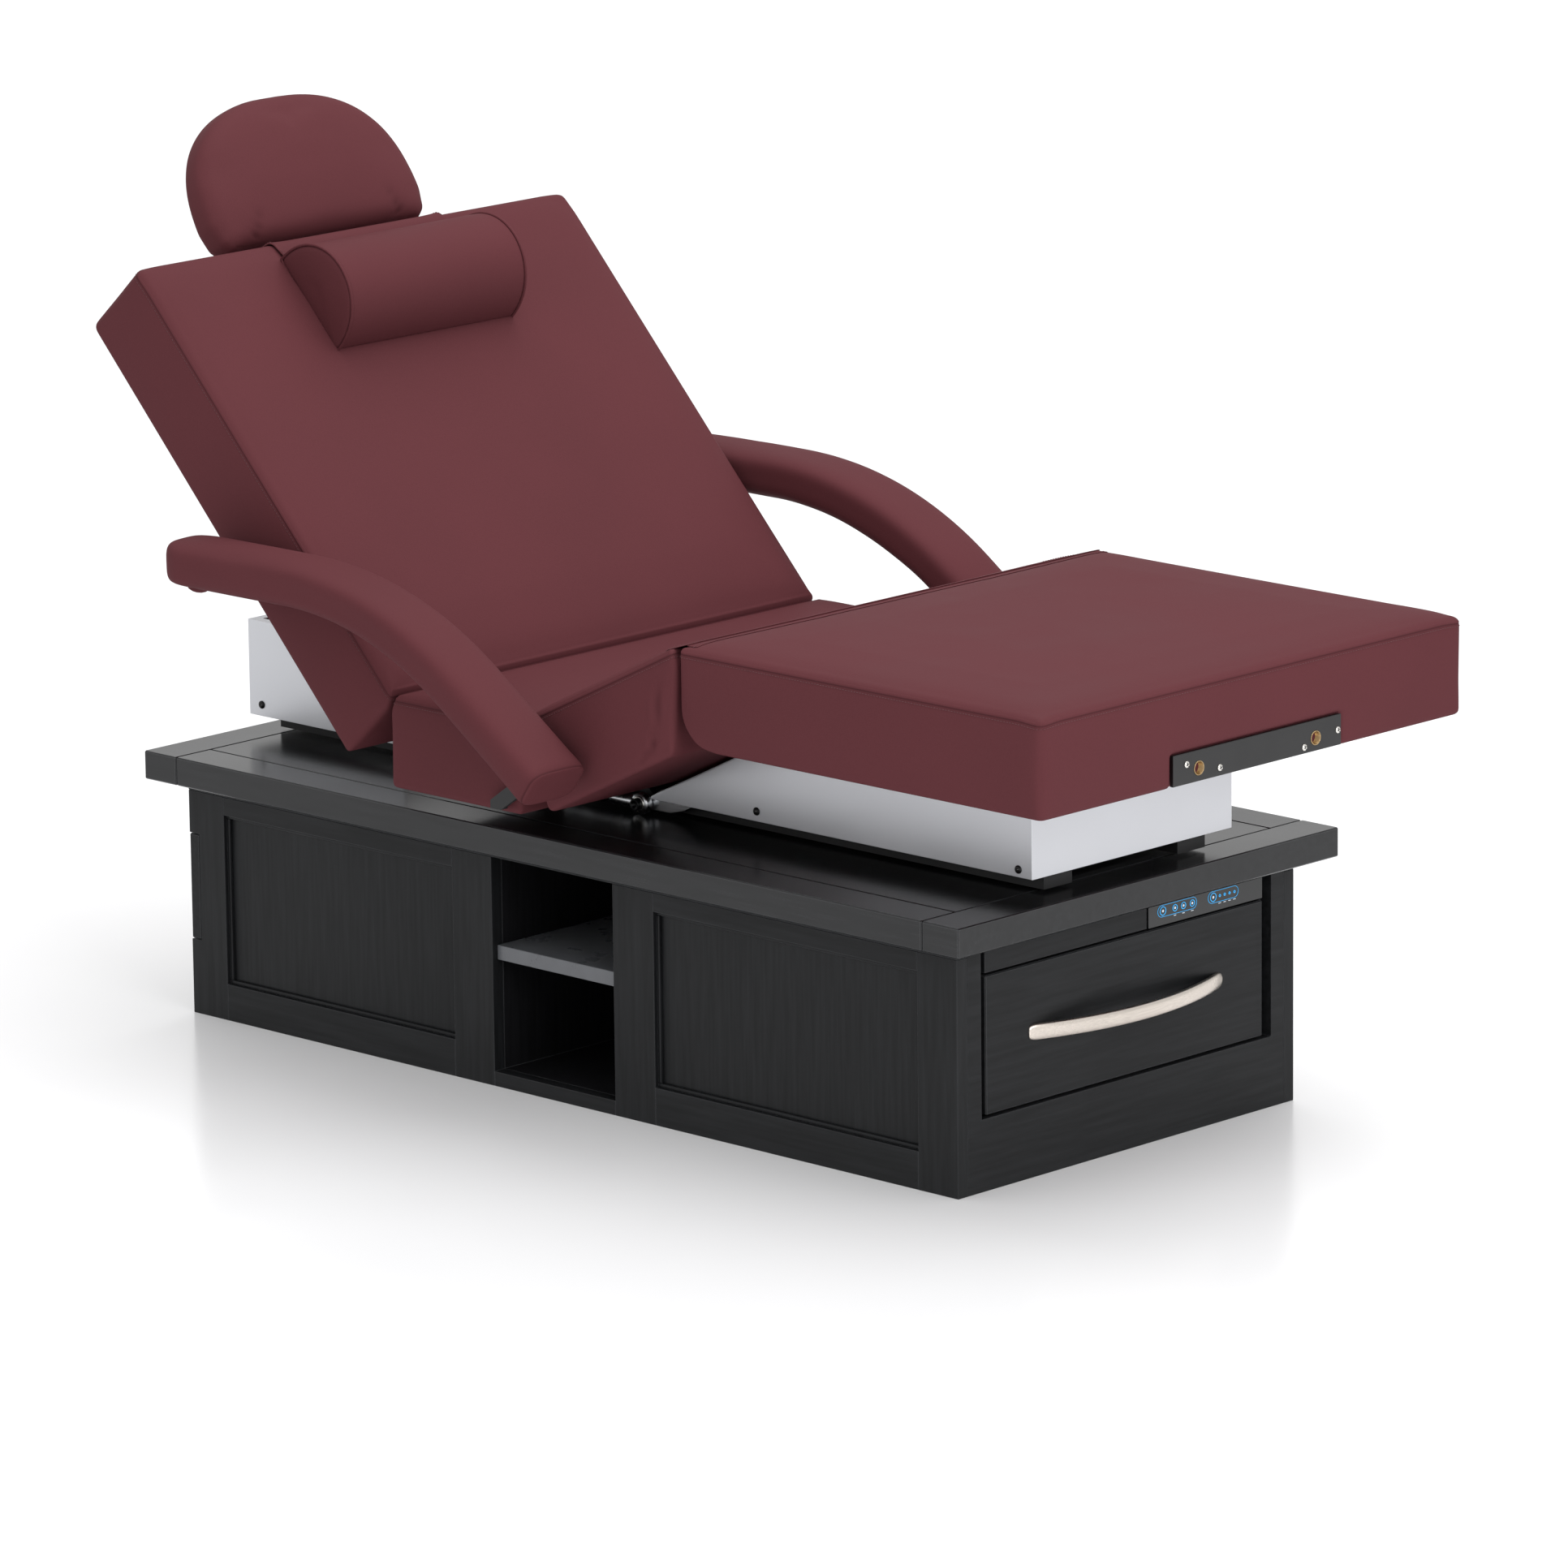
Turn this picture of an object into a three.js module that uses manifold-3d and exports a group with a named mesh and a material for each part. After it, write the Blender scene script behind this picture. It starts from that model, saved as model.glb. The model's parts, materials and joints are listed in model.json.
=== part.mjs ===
// Electric spa treatment table: a padded chair top in four sections, on a lifting chassis,
// on a panelled cabinet with a towel niche and a drawer at each end.
//
// Millimetres. +X points to the foot end, +Y to the far side, +Z up.
// The origin is on the floor, under the middle of the cabinet.
// The sections are posed as a chair: seat lowered, thigh section sloping, back raised.

import * as THREE from 'three';
import { mergeVertices } from 'three/addons/utils/BufferGeometryUtils.js';
import Module from 'manifold-3d';

const wasm = await Module();
wasm.setup();

// ---------------------------------------------------------------- driving dimensions

const GAP = 0.3;              // between pieces that rest on each other in a turned group
const SEAM = 1;               // visible joint between two boards

const CABINET_L = 1340;
const CABINET_W = 608;
const BOARD = 18;             // cabinet board thickness
const TOP_Z = 346;            // upper face of the cabinet top
const TOP_T = 37;
const TOP_OVERHANG = 39;
const TOP_BORDER = 60;        // width of the boards framing the cabinet top
const EDGE = 1.5;             // eased edge on the cabinet boards
const FLOOR_T = 12;           // cabinet floor board

const PANEL_Z0 = 48;          // recessed side panels
const PANEL_Z1 = 270;
const PANEL_T = 8;
const END_STILE = 65;
const NICHE_STILE = 70;
const NICHE_X0 = -118;
const NICHE_X1 = 94;
const NICHE_Z0 = 19;
const NICHE_Z1 = 294;
const NICHE_WALL = FLOOR_T - 5;
const NICHE_BACK_Y = -60;
const SHELF_Z0 = 161;
const SHELF_T = 19;

const FOOT_OPENING_HALF_W = 262;
const FOOT_OPENING_Z0 = 90;
const FOOT_OPENING_Z1 = 296;
const FOOT_DRAWER_HALF_W = 250;
const FOOT_DRAWER_Z0 = 92;
const FOOT_DRAWER_Z1 = 265;
const FOOT_DRAWER_DEPTH = 298;
const FRONT_SETBACK = 4;      // the foot drawer's front sits behind the frame's face
const CONTROL_SPLIT_Y = 40;   // between the plain strip and the touch panel
const CONTROL_Z0 = 267;
const CONTROL_Z1 = 293;
const HANDLE_HALF_L = 178;
const HANDLE_BOW = 38;
const HANDLE_T = 9;
const HANDLE_H = 20;
const HANDLE_Z = 179;

const HEAD_DRAWER_Z0 = 99;
const HEAD_DRAWER_Z1 = 237;
const HEAD_DRAWER_DEPTH = 225;
const DRAWER_WALL = 10;
const DRAWER_SIDE_GAP = 10;
const HEAD_DRAWER_SIDE_GAP = 51;
const FRAME_LAP = 6;          // the head frame behind the drawer front's edges
const HEAD_FRAME_BORDER = 40;
const WARMER_T = 4;
const CONTROL_BOX = { x0: -290, x1: -150, y0: 70, y1: 210, h: 80 };

const COLUMN_XS = { head: -350, foot: 290 };
const COLUMN_OUTER = 96;
const COLUMN_STEP = 12;       // each stage is this much narrower than the one around it
const COLUMN_WALL = 4;
const STAGE_LIFT = 4;         // each stage starts this far above the one around it
const CHASSIS_Z0 = 350;
const CHASSIS_Z1 = 374;
const RAIL_Y0 = 95;           // the two long rails
const RAIL_Y1 = 145;
const CHASSIS_HALF_L = 665;
const END_BAR = 30;
const POST_XS = [360, 600];   // posts under the leg section's frame
const POST_L = 40;

const SKIRT_HALF_W = 180;
const SKIRT_X0 = -685;
const SKIRT_X1 = 678;
const SKIRT_Z0 = 370;
const SKIRT_Z1 = 495;
const SHEET = 2.5;
const SKIRT_LIP = 14;         // folded rim around the top of the head skirt
const HEAD_SKIRT_END = -400;
const FOOT_SKIRT_END = 40;
const SKIRT_RELIEF = 4;       // under the lowered thigh section

const PAD_W = 762;            // 30 in
const PAD_T = 124;
const AXIS_DEPTH = 24;        // hinge axes lie this far under the upholstered surface
const PAD_WALL = 18;          // pad material around the deck recess
const END_GAP = 4;            // from each hinge axis to each pad's end
const DECK_T = 12;
const FRAME_TUBE = 20;
const FRAME_LIFT = 6;         // frame tubes above the pad's lower edge
const TUBE_INSET = 2;         // frame tubes to the ends of the deck recess
const LEG_CORNER_R = 10;      // pad corners, seen from above
const BACK_CORNER_R = 14;
const LEG_CHAMFER = { x: 50, z: 49 };
const PLATE_HALF_W = 151;     // foot socket plate
const PLATE_H = 38;
const PLATE_T = 5;

const THIGH_DROP = THREE.MathUtils.degToRad(26);
const BACK_RISE = THREE.MathUtils.degToRad(47);
const THIGH_UNDERCUT = THREE.MathUtils.degToRad(30);
const THIGH_L = 299;
const SEAT_L = 234;
const BACK_L = 672;
const LEG_L = 592;
const THIGH_AXIS = { x: 285, z: 609 };

const EAR_Y = 250;            // hinge ears, in side-by-side pairs
const EAR_T = 6;
const EAR_R = 8;
const STUD_R = 5;
const STUD_CLEARANCE = 0.6;

const LINK_DROP = 118;        // parallel links run this far under the thigh section's axes
const LINK_Y = 158;           // inner faces of the links
const LINK_HALF_H = 5;
const LINK_STUD_L = 18;
const LINK_T = 8;
const LINK_EYE_R = 9;
const LEVER_R = 160;          // actuator lever, from the thigh axis
const LEVER_PIN_R = 6;
const ROD_R = 8;
const ROD_EYE_CLEARANCE = 2.8; // the rod moves straight while its pin moves on an arc
const ACTUATOR_MOUNT_X = 604;
const ACTUATOR_TUBE_X = 348;
const GEARBOX_X = 560;
const MOTOR_Y = 42;
const MOTOR_R = 21;

const ARM_Y0 = 399.5;
const ARM_Y1 = 488;
const ARM_T = 56;
const ARM_PIVOT = { x: 95, z: 470 };
const ARM_REAR = { x: -530, z: 640 };
const ARM_BEND_X = -310;
const ARM_BEND_R = 523;
const ARM_SLOPE = THREE.MathUtils.degToRad(34.5);
const ARM_FRONT_X = 131;
const ARM_WALL = 12;          // upholstery around an armrest's core
const ARM_STUD_R = 6;
const BRACKET_X0 = -44;       // armrest brackets, from the seat's front axis
const BRACKET_X1 = -26;
const BRACKET_T = 6;
const BRACKET_Y = 390.5;      // outer faces
const ARM_CORE_GAP = 2.5;

const SOCKET_Y = 105;         // headrest rods and their sockets
const BAR_R = 6;
const FOOT_SOCKET_R = 8;      // sockets in the leg section's frame
const PLATE_SOCKET_R = 9;
const BAR_X = -(BACK_L + 14);
const HEADREST_TILT = THREE.MathUtils.degToRad(13);
const HEADREST_HALF_W = 188;
const HEADREST_H = 203;
const HEADREST_BASE = 20;     // from the tilt bar to the pad's lower edge
const HEADREST_T = 55;
const HEADREST_SOFT_EDGE = 16;
const HEADREST_BOARD_T = 8;
const ROD_GRIP = 200;         // length of the headrest rods inside the back
const TILT_BAR_HALF_L = 150;
const LUG_Y = [126, 134];
const HEADREST_WIDE_X = 38;   // from the lower edge to the widest part
const HEADREST_ROUNDNESS = 0.84;
const HEADREST_BASE_WIDTH = 0.94;
const BOLSTER_HALF_L = 153;
const BOLSTER_X0 = -641;
const BOLSTER_X1 = -493;
const BOLSTER_H = 88;
const FLAP_T = 3;

// ---------------------------------------------------------------- derived dimensions

const HALF_L = CABINET_L / 2;
const HALF_W = CABINET_W / 2;
const BODY_TOP = TOP_Z - TOP_T;
const PAD_TOP = AXIS_DEPTH;
const PAD_BOTTOM = AXIS_DEPTH - PAD_T;
const TUBE_Z0 = PAD_BOTTOM + FRAME_LIFT;
const TUBE_Z1 = TUBE_Z0 + FRAME_TUBE - GAP;
const DECK_Z0 = TUBE_Z0 + FRAME_TUBE;
const RECESS_TOP = DECK_Z0 + DECK_T + GAP;
const SOCKET_Z = TUBE_Z0 + FRAME_TUBE / 2;
const BRACKET_TOP = TUBE_Z0 + 12;
const SEAT_AXIS = {
  x: THIGH_AXIS.x - THIGH_L * Math.cos(THIGH_DROP),
  z: THIGH_AXIS.z - THIGH_L * Math.sin(THIGH_DROP),
};
const BACK_AXIS = { x: SEAT_AXIS.x - SEAT_L, z: SEAT_AXIS.z };

// ---------------------------------------------------------------- finishes

function finish(color, roughness, metalness) {
  return new THREE.MeshStandardMaterial({ color, roughness, metalness });
}

const FINISH = {
  lacquer: finish(0x202224, 0.35, 0.0),
  carcass: finish(0x1b1c1e, 0.6, 0.0),
  plywood: finish(0xb08d5b, 0.7, 0.0),
  vinyl: finish(0x6e3f44, 0.5, 0.0),
  skirt: finish(0xb4b6bb, 0.35, 0.6),
  frame: finish(0x2a2b2d, 0.5, 0.6),
  aluminium: finish(0xa9abae, 0.35, 0.9),
  nickel: finish(0xc8beb6, 0.3, 0.9),
  shelf: finish(0xb9bcc0, 0.4, 0.0),
  touch: finish(0x101214, 0.15, 0.0),
  plate: finish(0x0d0d0e, 0.2, 0.0),
  zinc: finish(0xc4c6c8, 0.3, 0.9),
};

// ---------------------------------------------------------------- shape helpers

const points2 = (pairs) => pairs.map(([u, v]) => new THREE.Vector2(u, v));

function extrude(outline, depth, holes = [], bevel = 0) {
  const shape = new THREE.Shape(points2(outline));
  for (const hole of holes) {
    shape.holes.push(new THREE.Path(points2(hole)));
  }
  const geometry = new THREE.ExtrudeGeometry(shape, {
    depth: depth - 2 * bevel,
    bevelEnabled: bevel > 0,
    bevelThickness: bevel,
    bevelSize: bevel,
    bevelOffset: -bevel,
    bevelSegments: 1,
  });
  geometry.translate(0, 0, bevel);
  return geometry;
}

// Outline in (x, z), extruded from y0 to y1.
function prismY(outline, y0, y1, holes = [], bevel = 0) {
  const geometry = extrude(outline, y1 - y0, holes, bevel);
  geometry.rotateX(Math.PI / 2);
  geometry.translate(0, y1, 0);
  return geometry;
}

// Outline in (y, z), extruded from x0 to x1.
function prismX(outline, x0, x1, holes = [], bevel = 0) {
  const geometry = extrude(outline, x1 - x0, holes, bevel);
  const yAxis = new THREE.Vector3(0, 1, 0);
  const zAxis = new THREE.Vector3(0, 0, 1);
  const xAxis = new THREE.Vector3(1, 0, 0);
  geometry.applyMatrix4(new THREE.Matrix4().makeBasis(yAxis, zAxis, xAxis));
  geometry.translate(x0, 0, 0);
  return geometry;
}

// Outline in (x, y), extruded from z0 to z1.
function prismZ(outline, z0, z1, holes = [], bevel = 0) {
  const geometry = extrude(outline, z1 - z0, holes, bevel);
  geometry.translate(0, 0, z0);
  return geometry;
}

function rectangle(u0, u1, v0, v1) {
  return [[u0, v0], [u1, v0], [u1, v1], [u0, v1]];
}

function box(x0, x1, y0, y1, z0, z1) {
  const geometry = new THREE.BoxGeometry(x1 - x0, y1 - y0, z1 - z0);
  geometry.translate((x0 + x1) / 2, (y0 + y1) / 2, (z0 + z1) / 2);
  return geometry;
}

// A board with all its edges eased.
function board(x0, x1, y0, y1, z0, z1) {
  const e = EDGE;
  const outline = [
    [x0 + e, y0], [x1 - e, y0], [x1, y0 + e], [x1, y1 - e],
    [x1 - e, y1], [x0 + e, y1], [x0, y1 - e], [x0, y0 + e],
  ];
  return prismZ(outline, z0, z1, [], e);
}

function arc(cx, cy, rx, ry, from, to, steps) {
  const points = [];
  for (let i = 0; i <= steps; i += 1) {
    const angle = from + ((to - from) * i) / steps;
    points.push([cx + rx * Math.cos(angle), cy + ry * Math.sin(angle)]);
  }
  return points;
}

function circle(cx, cy, r, sides = 16) {
  return arc(cx, cy, r, r, 0, 2 * Math.PI * (1 - 1 / sides), sides - 1);
}

function cylinderY(x, z, r, y0, y1, sides = 16) {
  return prismY(circle(x, z, r, sides), y0, y1);
}

function cylinderX(y, z, r, x0, x1, sides = 16) {
  return prismX(circle(y, z, r, sides), x0, x1);
}

// Convex outline around a set of points, counter-clockwise.
function hull(points) {
  const sorted = [...points].sort((a, b) => a[0] - b[0] || a[1] - b[1]);
  const half = (list) => {
    const chain = [];
    for (const p of list) {
      while (chain.length > 1) {
        const [a, b] = chain.slice(-2);
        const turn = (b[0] - a[0]) * (p[1] - a[1]) - (b[1] - a[1]) * (p[0] - a[0]);
        if (turn > 0) break;
        chain.pop();
      }
      chain.push(p);
    }
    return chain.slice(0, -1);
  };
  return [...half(sorted), ...half(sorted.reverse())];
}

// ---------------------------------------------------------------- booleans

function solid(geometry) {
  const bare = geometry.clone();
  bare.deleteAttribute('normal');
  bare.deleteAttribute('uv');
  const merged = mergeVertices(bare, 1e-4);
  return new wasm.Manifold(new wasm.Mesh({
    numProp: 3,
    vertProperties: new Float32Array(merged.attributes.position.array),
    triVerts: new Uint32Array(merged.index.array),
  }));
}

function geometryOf(manifold) {
  const mesh = manifold.getMesh();
  const geometry = new THREE.BufferGeometry();
  geometry.setAttribute('position', new THREE.BufferAttribute(mesh.vertProperties, 3));
  geometry.setIndex(new THREE.BufferAttribute(mesh.triVerts, 1));
  geometry.computeVertexNormals();
  return geometry;
}

function join(...geometries) {
  const [first, ...rest] = geometries.map(solid);
  return geometryOf(rest.reduce((sum, next) => sum.add(next), first));
}

function cut(geometry, ...tools) {
  return geometryOf(tools.reduce((sum, next) => sum.subtract(solid(next)), solid(geometry)));
}

function overlap(a, b) {
  return geometryOf(solid(a).intersect(solid(b)));
}

// Runs a builder for the near side (-1) and the far side (+1).
const bothSides = (build) => [-1, 1].map(build);

// A y range given for the far side, mirrored for the near side.
function sideRange(side, y0, y1) {
  return side > 0 ? [y0, y1] : [-y1, -y0];
}

// ---------------------------------------------------------------- scene graph

const model = new THREE.Group();

function group(x, z, turn, parent = model) {
  const made = new THREE.Group();
  made.position.set(x, 0, z);
  made.rotation.y = turn;
  parent.add(made);
  return made;
}

function piece(name, geometry, material, parent = model) {
  const mesh = new THREE.Mesh(geometry, material);
  mesh.name = name;
  parent.add(mesh);
}

// ---------------------------------------------------------------- cabinet

function sideOutline() {
  const notch = BOARD;
  return [
    [-HALF_L, 0], [HALF_L, 0], [HALF_L, BODY_TOP], [-HALF_L, BODY_TOP],
    [-HALF_L, HEAD_DRAWER_Z1 + SEAM], [-HALF_L + notch, HEAD_DRAWER_Z1 + SEAM],
    [-HALF_L + notch, HEAD_DRAWER_Z0 - SEAM], [-HALF_L, HEAD_DRAWER_Z0 - SEAM],
  ];
}

const PANEL_OPENINGS = {
  head: [-HALF_L + END_STILE, NICHE_X0 - NICHE_STILE],
  foot: [NICHE_X1 + NICHE_STILE, HALF_L - END_STILE],
};
const SIDE_INNER_Y = HALF_W - BOARD;

function buildSides() {
  const opening = (x0, x1, z0, z1) => box(x0, x1, -HALF_W - 1, HALF_W + 1, z0, z1);
  const panels = Object.values(PANEL_OPENINGS).map(([x0, x1]) => (
    opening(x0, x1, PANEL_Z0, PANEL_Z1)
  ));
  const niche = opening(NICHE_X0, NICHE_X1, NICHE_Z0, NICHE_Z1);
  const middle = opening(NICHE_X0, NICHE_X1, PANEL_Z0, PANEL_Z1);
  piece('side_frame_near',
    cut(prismY(sideOutline(), -HALF_W, -SIDE_INNER_Y), ...panels, niche), FINISH.lacquer);
  piece('side_frame_far',
    cut(prismY(sideOutline(), SIDE_INNER_Y, HALF_W), ...panels, middle), FINISH.lacquer);
  for (const [end, [x0, x1]] of Object.entries(PANEL_OPENINGS)) {
    piece(`side_panel_near_${end}`,
      box(x0 + GAP, x1 - GAP, -SIDE_INNER_Y - PANEL_T, -SIDE_INNER_Y, PANEL_Z0 + GAP, PANEL_Z1 - GAP),
      FINISH.lacquer);
  }
  piece('side_panel_far',
    box(PANEL_OPENINGS.head[0] - BOARD, PANEL_OPENINGS.foot[1] + BOARD,
      SIDE_INNER_Y - PANEL_T, SIDE_INNER_Y, PANEL_Z0 - BOARD, PANEL_Z1 + BOARD),
    FINISH.lacquer);
}

function buildNiche() {
  const shell = cut(
    box(NICHE_X0 - NICHE_WALL, NICHE_X1 + NICHE_WALL, -SIDE_INNER_Y, NICHE_BACK_Y + NICHE_WALL,
      FLOOR_T, NICHE_Z1 + NICHE_WALL),
    box(NICHE_X0, NICHE_X1, -HALF_W, NICHE_BACK_Y, NICHE_Z0, NICHE_Z1),
  );
  piece('niche_box', shell, FINISH.carcass);
  piece('niche_shelf',
    box(NICHE_X0 + GAP, NICHE_X1 - GAP, -HALF_W + PANEL_T, NICHE_BACK_Y - GAP,
      SHELF_Z0, SHELF_Z0 + SHELF_T),
    FINISH.shelf);
}

function buildHeadEnd() {
  const outer = -HALF_L;
  const inner = outer + BOARD;
  const reach = SIDE_INNER_Y - HEAD_FRAME_BORDER;
  const opening = rectangle(-reach, reach, HEAD_DRAWER_Z0 + FRAME_LAP,
    HEAD_DRAWER_Z1 - FRAME_LAP);
  const backing = prismX(rectangle(-SIDE_INNER_Y, SIDE_INNER_Y, 0, BODY_TOP), inner,
    inner + BOARD, [opening]);
  const topRail = box(outer, inner, -SIDE_INNER_Y, SIDE_INNER_Y, HEAD_DRAWER_Z1 + SEAM, BODY_TOP);
  const bottomRail = box(outer, inner, -SIDE_INNER_Y, SIDE_INNER_Y, 0, HEAD_DRAWER_Z0 - SEAM);
  piece('head_end_frame', join(backing, topRail, bottomRail), FINISH.lacquer);
}

function buildFootEnd() {
  const wide = rectangle(-FOOT_OPENING_HALF_W, FOOT_OPENING_HALF_W, FOOT_OPENING_Z0,
    FOOT_OPENING_Z1);
  const narrow = rectangle(-FOOT_DRAWER_HALF_W - SEAM, FOOT_DRAWER_HALF_W + SEAM,
    FOOT_DRAWER_Z0 - SEAM, FOOT_DRAWER_Z1);
  const face = rectangle(-SIDE_INNER_Y, SIDE_INNER_Y, 0, BODY_TOP);
  const front = prismX(face, HALF_L - BOARD, HALF_L, [wide]);
  const lining = prismX(face, HALF_L - 2 * BOARD, HALF_L - BOARD, [narrow]);
  piece('foot_end_frame', join(front, lining), FINISH.lacquer);

  const stripX0 = HALF_L - BOARD;
  const stripX1 = HALF_L - FRONT_SETBACK;
  const edge = FOOT_DRAWER_HALF_W;
  piece('control_strip',
    box(stripX0, stripX1 - 1, -edge, CONTROL_SPLIT_Y - SEAM, CONTROL_Z0, CONTROL_Z1),
    FINISH.lacquer);
  piece('touch_panel',
    box(stripX0, stripX1, CONTROL_SPLIT_Y + SEAM, edge, CONTROL_Z0, CONTROL_Z1), FINISH.touch);
}

function buildCabinetTop() {
  const halfL = HALF_L + TOP_OVERHANG;
  const halfW = HALF_W + TOP_OVERHANG;
  const seamX = halfL - TOP_BORDER;
  const seamY = halfW - TOP_BORDER;
  piece('top_board_head', board(-halfL, -seamX - SEAM, -halfW, halfW, BODY_TOP, TOP_Z),
    FINISH.lacquer);
  piece('top_board_foot', board(seamX + SEAM, halfL, -halfW, halfW, BODY_TOP, TOP_Z),
    FINISH.lacquer);
  piece('top_board_near', board(-seamX, seamX, -halfW, -seamY - SEAM, BODY_TOP, TOP_Z),
    FINISH.lacquer);
  piece('top_board_far', board(-seamX, seamX, seamY + SEAM, halfW, BODY_TOP, TOP_Z),
    FINISH.lacquer);
  const hole = COLUMN_OUTER / 2 + 2;
  const holes = Object.values(COLUMN_XS).map((x) => (
    box(x - hole, x + hole, -hole, hole, BODY_TOP - 1, TOP_Z + 1)
  ));
  piece('top_centre_panel', cut(board(-seamX, seamX, -seamY, seamY, BODY_TOP, TOP_Z), ...holes),
    FINISH.lacquer);
}

function buildCabinet() {
  const inner = HALF_L - 2 * BOARD;
  piece('floor_board', box(-inner, inner, -SIDE_INNER_Y, SIDE_INNER_Y, 0, FLOOR_T),
    FINISH.carcass);
  buildSides();
  buildNiche();
  buildHeadEnd();
  buildFootEnd();
  buildCabinetTop();
  const { x0, x1, y0, y1, h } = CONTROL_BOX;
  piece('control_box', board(x0, x1, y0, y1, FLOOR_T, FLOOR_T + h), FINISH.frame);
}

// ---------------------------------------------------------------- drawers

function drawerBox(x0, x1, halfW, z0, z1) {
  const w = DRAWER_WALL;
  return cut(
    box(x0, x1, -halfW, halfW, z0, z1),
    box(x0 + w, x1 - w, -halfW + w, halfW - w, z0 + w, z1 + 1),
  );
}

function handleGeometry(faceX) {
  const radius = (HANDLE_HALF_L ** 2 + HANDLE_BOW ** 2) / (2 * HANDLE_BOW);
  const centreX = faceX + HANDLE_BOW - radius;
  const outerEnd = Math.asin(HANDLE_HALF_L / radius);
  const innerR = radius - HANDLE_T;
  const innerEnd = Math.acos((faceX - centreX) / innerR);
  const outline = [
    ...arc(centreX, 0, radius, radius, -outerEnd, outerEnd, 14),
    ...arc(centreX, 0, innerR, innerR, innerEnd, -innerEnd, 12),
  ];
  return prismZ(outline, HANDLE_Z - HANDLE_H / 2, HANDLE_Z + HANDLE_H / 2);
}

function buildDrawers() {
  const footFaceX = HALF_L - FRONT_SETBACK;
  const footBackX = footFaceX - BOARD;
  piece('foot_drawer_front',
    board(footBackX, footFaceX, -FOOT_DRAWER_HALF_W, FOOT_DRAWER_HALF_W, FOOT_DRAWER_Z0,
      FOOT_DRAWER_Z1 - SEAM),
    FINISH.lacquer);
  const boxZ0 = FOOT_DRAWER_Z0 + 8;
  const boxHalfW = FOOT_DRAWER_HALF_W - DRAWER_SIDE_GAP;
  piece('foot_drawer_box',
    drawerBox(footBackX - FOOT_DRAWER_DEPTH, footBackX, boxHalfW, boxZ0,
      FOOT_DRAWER_Z1 - DRAWER_SIDE_GAP),
    FINISH.carcass);
  const inset = 2 * DRAWER_WALL;
  piece('warmer_plate',
    box(footBackX - FOOT_DRAWER_DEPTH + inset, footBackX - inset,
      -boxHalfW + inset, boxHalfW - inset,
      boxZ0 + DRAWER_WALL, boxZ0 + DRAWER_WALL + WARMER_T),
    FINISH.aluminium);
  piece('foot_drawer_handle', handleGeometry(footFaceX), FINISH.nickel);

  const headBackX = -HALF_L + BOARD;
  piece('head_drawer_front',
    board(-HALF_L, headBackX, -HALF_W, HALF_W, HEAD_DRAWER_Z0, HEAD_DRAWER_Z1),
    FINISH.lacquer);
  piece('head_drawer_box',
    drawerBox(headBackX, headBackX + HEAD_DRAWER_DEPTH, SIDE_INNER_Y - HEAD_DRAWER_SIDE_GAP,
      HEAD_DRAWER_Z0 + FRAME_LAP + 3, HEAD_DRAWER_Z1 - FRAME_LAP - 3),
    FINISH.carcass);
}

// ---------------------------------------------------------------- lift columns

function columnStage(x, stage, z0, z1) {
  const half = (COLUMN_OUTER - stage * COLUMN_STEP) / 2;
  const bore = half - COLUMN_WALL;
  return prismZ(rectangle(x - half, x + half, -half, half), z0, z1,
    [rectangle(x - bore, x + bore, -bore, bore)]);
}

function buildColumns() {
  for (const [end, x] of Object.entries(COLUMN_XS)) {
    piece(`column_outer_${end}`, columnStage(x, 0, FLOOR_T, TOP_Z - STAGE_LIFT - 2), FINISH.frame);
    piece(`column_middle_${end}`, columnStage(x, 1, FLOOR_T + STAGE_LIFT, TOP_Z - 2), FINISH.aluminium);
    piece(`column_inner_${end}`, columnStage(x, 2, FLOOR_T + 2 * STAGE_LIFT, CHASSIS_Z0), FINISH.aluminium);
  }
}

// ---------------------------------------------------------------- chassis and skirts

const ACTUATOR_Z = THIGH_AXIS.z - LEVER_R * (1 + Math.cos(THIGH_DROP / 2)) / 2;

function buildChassis() {
  const z0 = CHASSIS_Z0;
  const z1 = CHASSIS_Z1;
  const parts = bothSides((side) => (
    box(-CHASSIS_HALF_L, CHASSIS_HALF_L, ...sideRange(side, RAIL_Y0, RAIL_Y1), z0, z1)
  ));
  const reach = SKIRT_HALF_W - SHEET - GAP;
  const half = COLUMN_OUTER / 2;
  for (const x of Object.values(COLUMN_XS)) {
    parts.push(box(x - half, x + half, -RAIL_Y1, RAIL_Y1, z0, z1));
  }
  for (const x of [-CHASSIS_HALF_L, CHASSIS_HALF_L - END_BAR]) {
    parts.push(box(x, x + END_BAR, -reach, reach, SKIRT_Z0 + 2, SKIRT_Z0 + 2 + END_BAR));
  }
  const legFrameZ = THIGH_AXIS.z + TUBE_Z0;
  for (const x of POST_XS) {
    parts.push(...bothSides((side) => (
      box(x, x + POST_L, ...sideRange(side, RAIL_Y0, RAIL_Y1), z1 - 1, legFrameZ)
    )));
  }
  const pivot = [THIGH_AXIS.x, THIGH_AXIS.z - LINK_DROP];
  const foot = rectangle(pivot[0] - 20, pivot[0] + 20, z1 - 4, z1);
  const bracket = hull([...circle(...pivot, LINK_EYE_R), ...foot]);
  for (const side of [-1, 1]) {
    parts.push(prismY(bracket, ...sideRange(side, RAIL_Y1 - 2, LINK_Y - 2)));
    parts.push(cylinderY(...pivot, STUD_R, ...sideRange(side, LINK_Y + 10 - LINK_STUD_L, LINK_Y + 10)));
  }
  parts.push(box(ACTUATOR_MOUNT_X, ACTUATOR_MOUNT_X + 20, -RAIL_Y0 - 2, RAIL_Y0 + 2, z0,
    ACTUATOR_Z + 20));
  piece('lift_chassis', join(...parts), FINISH.frame);
}

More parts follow.
